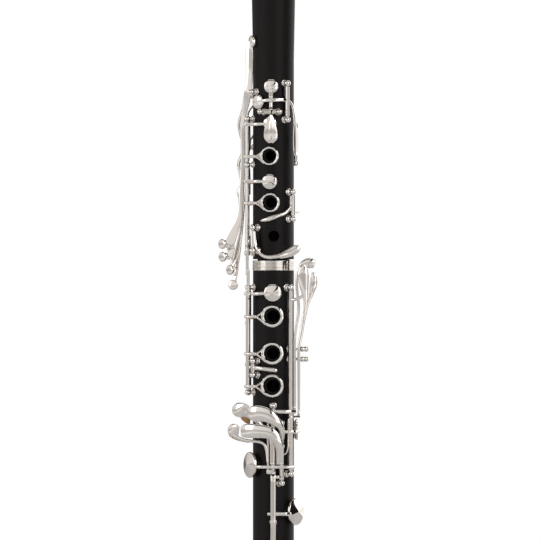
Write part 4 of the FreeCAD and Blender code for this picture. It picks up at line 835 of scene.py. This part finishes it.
def f_sharp_key():
    """F sharp/C sharp key: cup on the left, cross bar to the right, touch above the E touch."""
    x, y = CENTRE_LINE
    shells = [cup(*F_SHARP_CUP, BIG_RISE)]
    bar(shells, [
        (x - 0.6, y - 1.4, 192.4, 2.4, 1.3), (-5.6, -19.2, 192.4, 2.3, 1.5),
        (-10.4, -17.4, 192.5, 2.2, 1.4), (-14.8, -11.4, 192.9, 1.9, 1.2),
        (*polar(-68, 18.6, 193.4), 0.8, 0.8)], power=3)
    shells = [moved(s, opened(CENTRE_LINE, -1, F_SHARP_SWING)) for s in shells]
    shells.append(tube(CENTRE_LINE, 191.15, 225.9))
    bar(shells, [
        (x - 0.4, y - 1.9, 192.4, 2.4, 1.2), (3.4, -20.8, 192.4, 2.2, 1.3), (7.6, -20.9, 192.4, 2.1, 1.3),
        (11.6, -20.3, 192.4, 2.1, 1.3), (14.2, -19.4, 192.4, 2.3, 1.3)], power=3)
    bar(shells, [
        (-28.1, -9.5, 232, 5, 1.4), (-27, -10.5, 232.1, 8, 2), (-24.8, -12, 232.2, 9.9, 2.4),
        (-21.8, -13.3, 232, 10.6, 2.3), (-19, -14, 231.4, 9.6, 1.8), (-17.4, -14.3, 230.8, 7.6, 1.4)],
        power=2.2, segments=28)
    bar(shells, [
        (-19.6, -14, 229.4, 5, 1.6), (-15.4, -14.8, 228, 5, 1.8), (-11.6, -15.8, 225.4, 4.6, 2),
        (-8.6, -17.3, 222.4, 3.6, 2.1), (-4.7, -20, 216.6, 2.4, 1.4), (-1.6, -20.1, 211.8, 2.9, 1.2),
        (x - 0.6, y - 1.7, 207, 3.3, 1.3), (x - 0.6, y - 1.7, 201, 3.3, 1.3),
        (x - 0.6, y - 1.7, 194.8, 3.3, 1.3)], power=2.6, segments=24)
    silver_key("rh_f_sharp_key", shells)
    wedge = sweep([
        (-22.2, -12.2, 226.6, 1.6, 1.2), (-19.6, -13.4, 225.4, 4, 1.4), (-16.8, -14, 225, 5.4, 1.4)],
        power=2.6)
    make("rh_f_sharp_touch_cork", "rh_f_sharp_key_body", [wedge], CORK)


def low_f_keys():
    """F/C: its cup on the centre line and its touch on the second line, joined through their lugs."""
    x, y = CENTRE_LINE
    shells = [cup(*F_CUP, BIG_RISE), cup_arm(CENTRE_LINE, (9.2, -17.4), F_CUP[0], 159.6, 160.6, 2.6)]
    shells = [moved(s, opened(CENTRE_LINE, 1, BIG_CUP_SWING)) for s in shells]
    shells.append(tube(CENTRE_LINE, 156.1, 186.8))
    bar(shells, [(x + out, y + 0.2, 185.4, 2.2, 1.3) for out in (1.3, 2.4, 3.3)], face=FRONT, power=4)
    bar(shells, [
        (x - 1.3, y, 159.6, 2.3, 1.4), (x - 2.6, y, 159.6, 2.2, 1.4), (x - 3.4, y, 159.6, 2.2, 1.4)],
        face=FRONT, power=4)
    silver_key("f_cup_key", shells)

    x, y = SECOND_LINE
    shells = [tube(SECOND_LINE, 183.4, 204.4)]
    bar(shells, [
        (-22.4, -15.8, 217.3, 6.4, 0.9), (-20.9, -17, 217.5, 8.8, 1.5), (-17.6, -19.1, 217.7, 10, 2.3),
        (-13, -21.1, 217.6, 9.9, 2.6), (-8, -22.8, 217.3, 9.4, 2.6), (-3.2, -23.7, 216.4, 8.6, 2.5),
        (0.8, -23.7, 214, 7.2, 2.5), (3.2, -23.3, 210.6, 6.2, 2.5), (4.3, -22.6, 206.4, 5.6, 2.4),
        (4.6, -21.2, 201.6, 5.3, 2.2), (4.6, -19.8, 196.8, 5.2, 1.8), (4.6, -19.2, 194.6, 5.2, 1.2)],
        power=2.2, segments=32)
    bar(shells, [
        (x - 1, y - 1.4, 185.4, 2.2, 1.3), (x - 2, y - 2.2, 185.4, 2.2, 1.3),
        (x - 3, y - 2.3, 185.4, 2.2, 1.3)], face=FRONT, power=4)
    bar(shells, [
        (x + 1, y - 1, 201, 2, 0.9), (9, -20.4, 202.2, 1.6, 0.8), (10.2, -21.4, 206, 1.6, 0.8),
        (10.5, -21.9, 212, 1.6, 0.8), (10.6, -22, 220, 1.6, 0.8), (10.8, -21.9, 225, 1.6, 1.1),
        (12.4, -21.2, 227.4, 1.7, 1.5), (15, -19.7, 227.6, 1.7, 1.6), (18, -17.5, 227.6, 1.7, 1.6)],
        face=((1, -0.2, 0), (0.6, -0.8, 0)), power=2.4)
    silver_key("rh_f_key", shells)


def a_flat_key():
    """A flat/E flat key: cup round on the right, touch beside the F sharp touch."""
    shells = [cup(*A_FLAT_CUP, A_FLAT_RISE), tube(SECOND_LINE, 209.2, 220.6)]
    bar(shells, [
        (*wall(SECOND_LINE, (10, -18), 217), 2.5, 1.4), (10.2, -18, 217, 2.4, 1.3),
        (14.9, -16.5, 217, 2.4, 1.3), (17.8, -10, 217.2, 2.4, 1.3), (18.5, -3.6, 217.8, 1.9, 1.2),
        (18.5, -0.6, 218.4, 0.9, 0.8)], power=3)
    bar(shells, [
        (-17.4, -18.6, 229.4, 6.6, 0.9), (-16, -19.7, 229.7, 9.2, 1.5), (-13, -21.3, 230, 10.8, 2.3),
        (-9, -22.6, 229.8, 11, 2.6), (-4.6, -23.5, 228.6, 10, 2.6), (-0.4, -23.7, 226, 7.8, 2.5),
        (3, -23.2, 223.2, 6, 2.4), (5.4, -22, 219.6, 4.4, 2.2), (6.4, -20.6, 215.6, 3.2, 2),
        (6.2, -19.2, 212, 2.6, 1.6)], power=2.2, segments=32)
    silver_key("rh_a_flat_key", shells)


# ---------- posts
UPPER_HINGES = [
    (UPPER_LEFT, (435.8, 403.7, 341.8)), (G_SHARP_LINE, (460.5, 435.0)), (UPPER_SLIVER_LINE, (384.6, 365.7)),
    (C_SHARP_LINE, (359.7, 343.6)), (THUMB_LINE, (431.0, 405.0)),
]
LOWER_HINGES = [
    (LOWER_LEFT, (317.9, 244.5)), (LOWER_SLIVER_LINE, (266.4, 256.6)), (LONG_RIGHT, (317.8, 187.5)),
    (CENTRE_LINE, (235.2, 153.6, 108.6)), (SECOND_LINE, (223.0, 206.8, 181.0)),
]


def ball_profile(r, low, steps=14):
    """Half section of a ball of radius r, from where its neck leaves it to its top."""
    start = -math.acos(min(1.0, low / r))
    angles = [start + (math.pi / 2 - start) * k / steps for k in range(steps + 1)]
    return [(r * math.cos(a), r * math.sin(a)) for a in angles]


def pillar(x, y, z, ball_r=2.25):
    """Turned post: thin base, round foot, narrow neck and ball head."""
    head = math.hypot(x, y)
    azimuth = math.degrees(math.atan2(x, -y))
    foot_top = min(BODY_R + 1.75, head - ball_r * 0.86)
    foot = ((0, -1), (2.5, -1), (2.5, 0.2), (2.35, 0.35), (2.05, 0.4), (2.2, 0.75), (2.1, 1.15), (1.7, 1.5))
    profile = [(r, BODY_R + h) for r, h in foot] + [(1.2, foot_top)]
    neck = max(head - ball_r * 0.86, foot_top + 0.05)
    for r, h in ball_profile(ball_r, 1.2):
        if head + h > neck:
            profile.append((r, head + h))
    return lathe(profile, outward(azimuth, z), segments=36)


def leaning_pillar(x, y, z, ball_r):
    """Foot on the right of the body, a round arm out to (x, y) and a double-lobed head."""
    start = Vector((BODY_R - 0.4, 0.5, z))
    end = Vector((x, y, z))
    foot = ((0, -1), (2.5, -1), (2.5, 0.2), (2.1, 0.4), (2.2, 0.7), (1.6, 1.2), (0, 1.3))
    base = lathe([(r, BODY_R + h) for r, h in foot], outward(92.0, z), segments=32)
    ball = ball_profile(ball_r, 0.0, 18)
    bottom = [(r, -h) for r, h in reversed(ball[1:])]
    lobe = [(r * 0.82, h * 0.82) for r, h in [(0.0, -ball_r), *bottom[1:], *ball]]
    lobes = [lathe(lobe, along(end + Vector((side * ball_r, 0, 0)), (1, 0, 0)), segments=32)
             for side in (-0.55, 0.55)]
    return [base, round_bar([start, start.lerp(end, 0.5), end], 1.0), *lobes]


def posts():
    """Every post of the upper joint as one piece and every post of the lower joint as another."""
    upper = [pillar(x, y, z) for (x, y), heights in UPPER_HINGES for z in heights]
    for side in (-1, 1):
        upper.append(pillar(A_HINGE[0] + side * 6.8, A_HINGE[1], A_HINGE[2], 2.0))
        upper.append(pillar(side * 6.0, REGISTER_HINGE[1], REGISTER_HINGE[2], 2.0))
    for (azimuth, z, square), *_ in TRILLS.values():
        centre = polar(azimuth, TRILL_HINGE_R, z)
        for side in (-1, 1):
            head = centre + sideways(square) * (side * TRILL_POST_OUT)
            upper.append(pillar(head.x, head.y, head.z, 1.8))
    make("upper_pillars", "clarinet_body", upper, SILVER, ["upper_posts"], crease=50)
    lower = [pillar(x, y, z) for (x, y), heights in LOWER_HINGES for z in heights]
    for z in (E_PIVOT_Z, F_PIVOT_Z):
        lower.append(pillar(11.9, PIVOT_Y, z, 1.6))
        lower += leaning_pillar(21.6, PIVOT_Y, z, 2.3)
    make("lower_pillars", "clarinet_body", lower, SILVER, ["lower_posts"], crease=50)


def springs():
    """Needle springs: blued wires from a post along the hinge tube, in the gap beside the body."""
    wires = []
    for (x, y), dx, dy, spans in (
            (UPPER_LEFT, 1.95, 1.0, ((435.8, 414.0), (403.7, 383.0), (341.8, 347.2))),
            (LOWER_LEFT, 1.9, 1.1, ((317.9, 298.0), (244.5, 257.6))),
            (LONG_RIGHT, -1.95, 0.75, ((317.8, 297.0), (187.5, 206.0))),
            (G_SHARP_LINE, -1.95, 0.3, ((460.5, 451.5),))):
        for start, end in spans:
            wires.append(round_bar([
                (x + dx * 0.8, y + dy * 0.8, start), (x + dx, y + dy, start * 0.6 + end * 0.4),
                (x + dx, y + dy, end)], SPRING_R, segments=10))
    make("needle_springs", "clarinet_body", wires, SPRING_STEEL)


# ---------- the stage
# metres
CAMERA_DISTANCE = 7.0
CAMERA_FIELD = 0.378
CAMERA_X, CAMERA_Z = -0.0024, 0.330
FLOOR_HALF = 1.4
LAMPS = (("key_lamp", (1.6, -1.8, 1.5), 1.0, 9.0), ("fill_lamp", (-1.8, -1.0, 0.9), 1.2, 4.0))
ROOM_TINT = (1.0, 0.955, 0.915, 1)

# Brightness of the room as (position, level). Round the horizon, 0 and 1 are behind, 0.25 is the left,
# 0.5 the front and 0.75 the right, where a dark flag stands.
ROOM_ROUND = [(0.0, 0.20), (0.08, 0.24), (0.13, 0.60), (0.25, 0.74), (0.36, 0.82), (0.44, 0.74),
              (0.50, 0.66), (0.542, 0.70), (0.555, 1.5), (0.640, 1.5), (0.650, 0.01), (0.775, 0.01),
              (0.785, 1.5), (1.0, 1.5)]
# Round the line of sight, 0.5 is the right, 0.75 up and 0.25 down; two dark flags fan out to the right.
ROOM_FANS = [(0.0, 1.0), (0.222, 1.0), (0.230, 0.02), (0.300, 0.02), (0.308, 1.0), (0.622, 1.0),
             (0.630, 0.02), (0.684, 0.02), (0.692, 1.0), (1.0, 1.0)]
# From straight down at 0 to straight up at 1, with dark bands below and above and a dimmer horizon.
ROOM_HEIGHTS = [(0.0, 0.5), (0.06, 0.5), (0.09, 0.04), (0.21, 0.04), (0.24, 1.0), (0.465, 1.0), (0.478, 0.64),
                (0.522, 0.64), (0.535, 1.0), (0.76, 1.0), (0.79, 0.04), (0.90, 0.04), (0.93, 0.9), (1.0, 0.9)]


def camera():
    """Long lens level with the middle of the body, as the keys are seen from straight in front."""
    data = bpy.data.cameras.new("camera")
    data.sensor_width = 36.0
    data.lens = data.sensor_width * CAMERA_DISTANCE / CAMERA_FIELD
    data.clip_start, data.clip_end = 0.5, 40.0
    view = in_scene("camera", data)
    view.location = (CAMERA_X, -CAMERA_DISTANCE, CAMERA_Z)
    view.rotation_euler = (math.pi / 2, 0, 0)
    bpy.context.scene.camera = view


def floor():
    """Plain pale square under the bell."""
    mesh = bpy.data.meshes.new("studio_floor")
    corners = [(x * FLOOR_HALF, y * FLOOR_HALF, 0) for x, y in ((-1, -1), (1, -1), (1, 1), (-1, 1))]
    mesh.from_pydata(corners, [], [(0, 1, 2, 3)])
    piece = in_scene("studio_floor", mesh)
    piece.location.z = -0.0005
    material, tree, shader = node_material("pale_floor")
    grain = noise(tree, (40, 40, 40), detail=3.0)
    paint(tree, shader, "Base Color", grain, [(0.3, 0.86), (0.7, 0.90)])
    shader.inputs["Roughness"].default_value = 0.7
    mesh.materials.append(material)


def studio_light():
    """A white room with dark flags, painted by direction on the world, and two soft lamps."""
    world = bpy.data.worlds.new("studio")
    bpy.context.scene.world = world
    world.use_nodes = True
    tree = world.node_tree
    link = tree.links.new
    background = tree.nodes["Background"]
    place = tree.nodes.new("ShaderNodeTexCoord")
    split = tree.nodes.new("ShaderNodeSeparateXYZ")
    link(place.outputs["Generated"], split.inputs["Vector"])

    def maths(operation, a, b=None):
        node = tree.nodes.new("ShaderNodeMath")
        node.operation = operation
        for socket, value in zip(node.inputs, (a, b)):
            if value is None:
                continue
            if isinstance(value, (int, float)):
                socket.default_value = value
            else:
                link(value, socket)
        return node.outputs["Value"]

    x, y, z = split.outputs["X"], split.outputs["Y"], split.outputs["Z"]
    azimuth = maths("DIVIDE", maths("ARCTAN2", x, maths("MULTIPLY", y, -1.0)), 2 * math.pi)
    around = ramp(tree, maths("ADD", azimuth, 0.5), ROOM_ROUND)
    fan = maths("DIVIDE", maths("ARCTAN2", z, x), 2 * math.pi)
    flags = ramp(tree, maths("ADD", fan, 0.5), ROOM_FANS)
    # the fans are only in front, and not within eight degrees of the line of sight
    off_axis = maths("GREATER_THAN", maths("ADD", maths("MULTIPLY", x, x), maths("MULTIPLY", z, z)), 0.02)
    ahead = maths("MULTIPLY", maths("LESS_THAN", y, -0.1), off_axis)
    flags_ahead = maths("MAXIMUM", flags, maths("SUBTRACT", 1.0, ahead))
    heights = ramp(tree, maths("ADD", maths("MULTIPLY", z, 0.5), 0.5), ROOM_HEIGHTS)
    lit = maths("MULTIPLY", maths("MULTIPLY", around, flags_ahead), heights)
    # seen directly, the room is plain white
    path = tree.nodes.new("ShaderNodeLightPath")
    strength = tree.nodes.new("ShaderNodeMix")
    strength.data_type = "FLOAT"
    link(path.outputs["Is Camera Ray"], strength.inputs["Factor"])
    link(lit, strength.inputs["A"])
    strength.inputs["B"].default_value = 1.0
    tint = tree.nodes.new("ShaderNodeMix")
    tint.data_type = "RGBA"
    link(path.outputs["Is Camera Ray"], tint.inputs["Factor"])
    tint.inputs["A"].default_value = ROOM_TINT
    tint.inputs["B"].default_value = (1.0, 1.0, 1.0, 1)
    link(strength.outputs["Result"], background.inputs["Strength"])
    link(tint.outputs["Result"], background.inputs["Color"])
    for name, place, size, power in LAMPS:
        data = bpy.data.lights.new(name, "AREA")
        data.size = size
        data.energy = power
        lamp = in_scene(name, data)
        lamp.location = place
        lamp.rotation_euler = (Vector((0, 0, 0.35)) - Vector(place)).to_track_quat("-Z", "Y").to_euler()
        lamp.visible_camera = False
    bpy.context.scene.view_settings.view_transform = "Standard"


camera()
floor()
studio_light()
dress_cad_nodes()
upper_left_keys()
thumb_ring()
a_key()
g_sharp_key()
left_hand_sliver()
c_sharp_key()
register_key()
for trill in TRILLS:
    trill_key(trill)
right_hand_rings()
right_hand_sliver()
left_hand_levers()
low_e_key()
f_sharp_key()
low_f_keys()
a_flat_key()
posts()
springs()

bpy.context.view_layer.update()
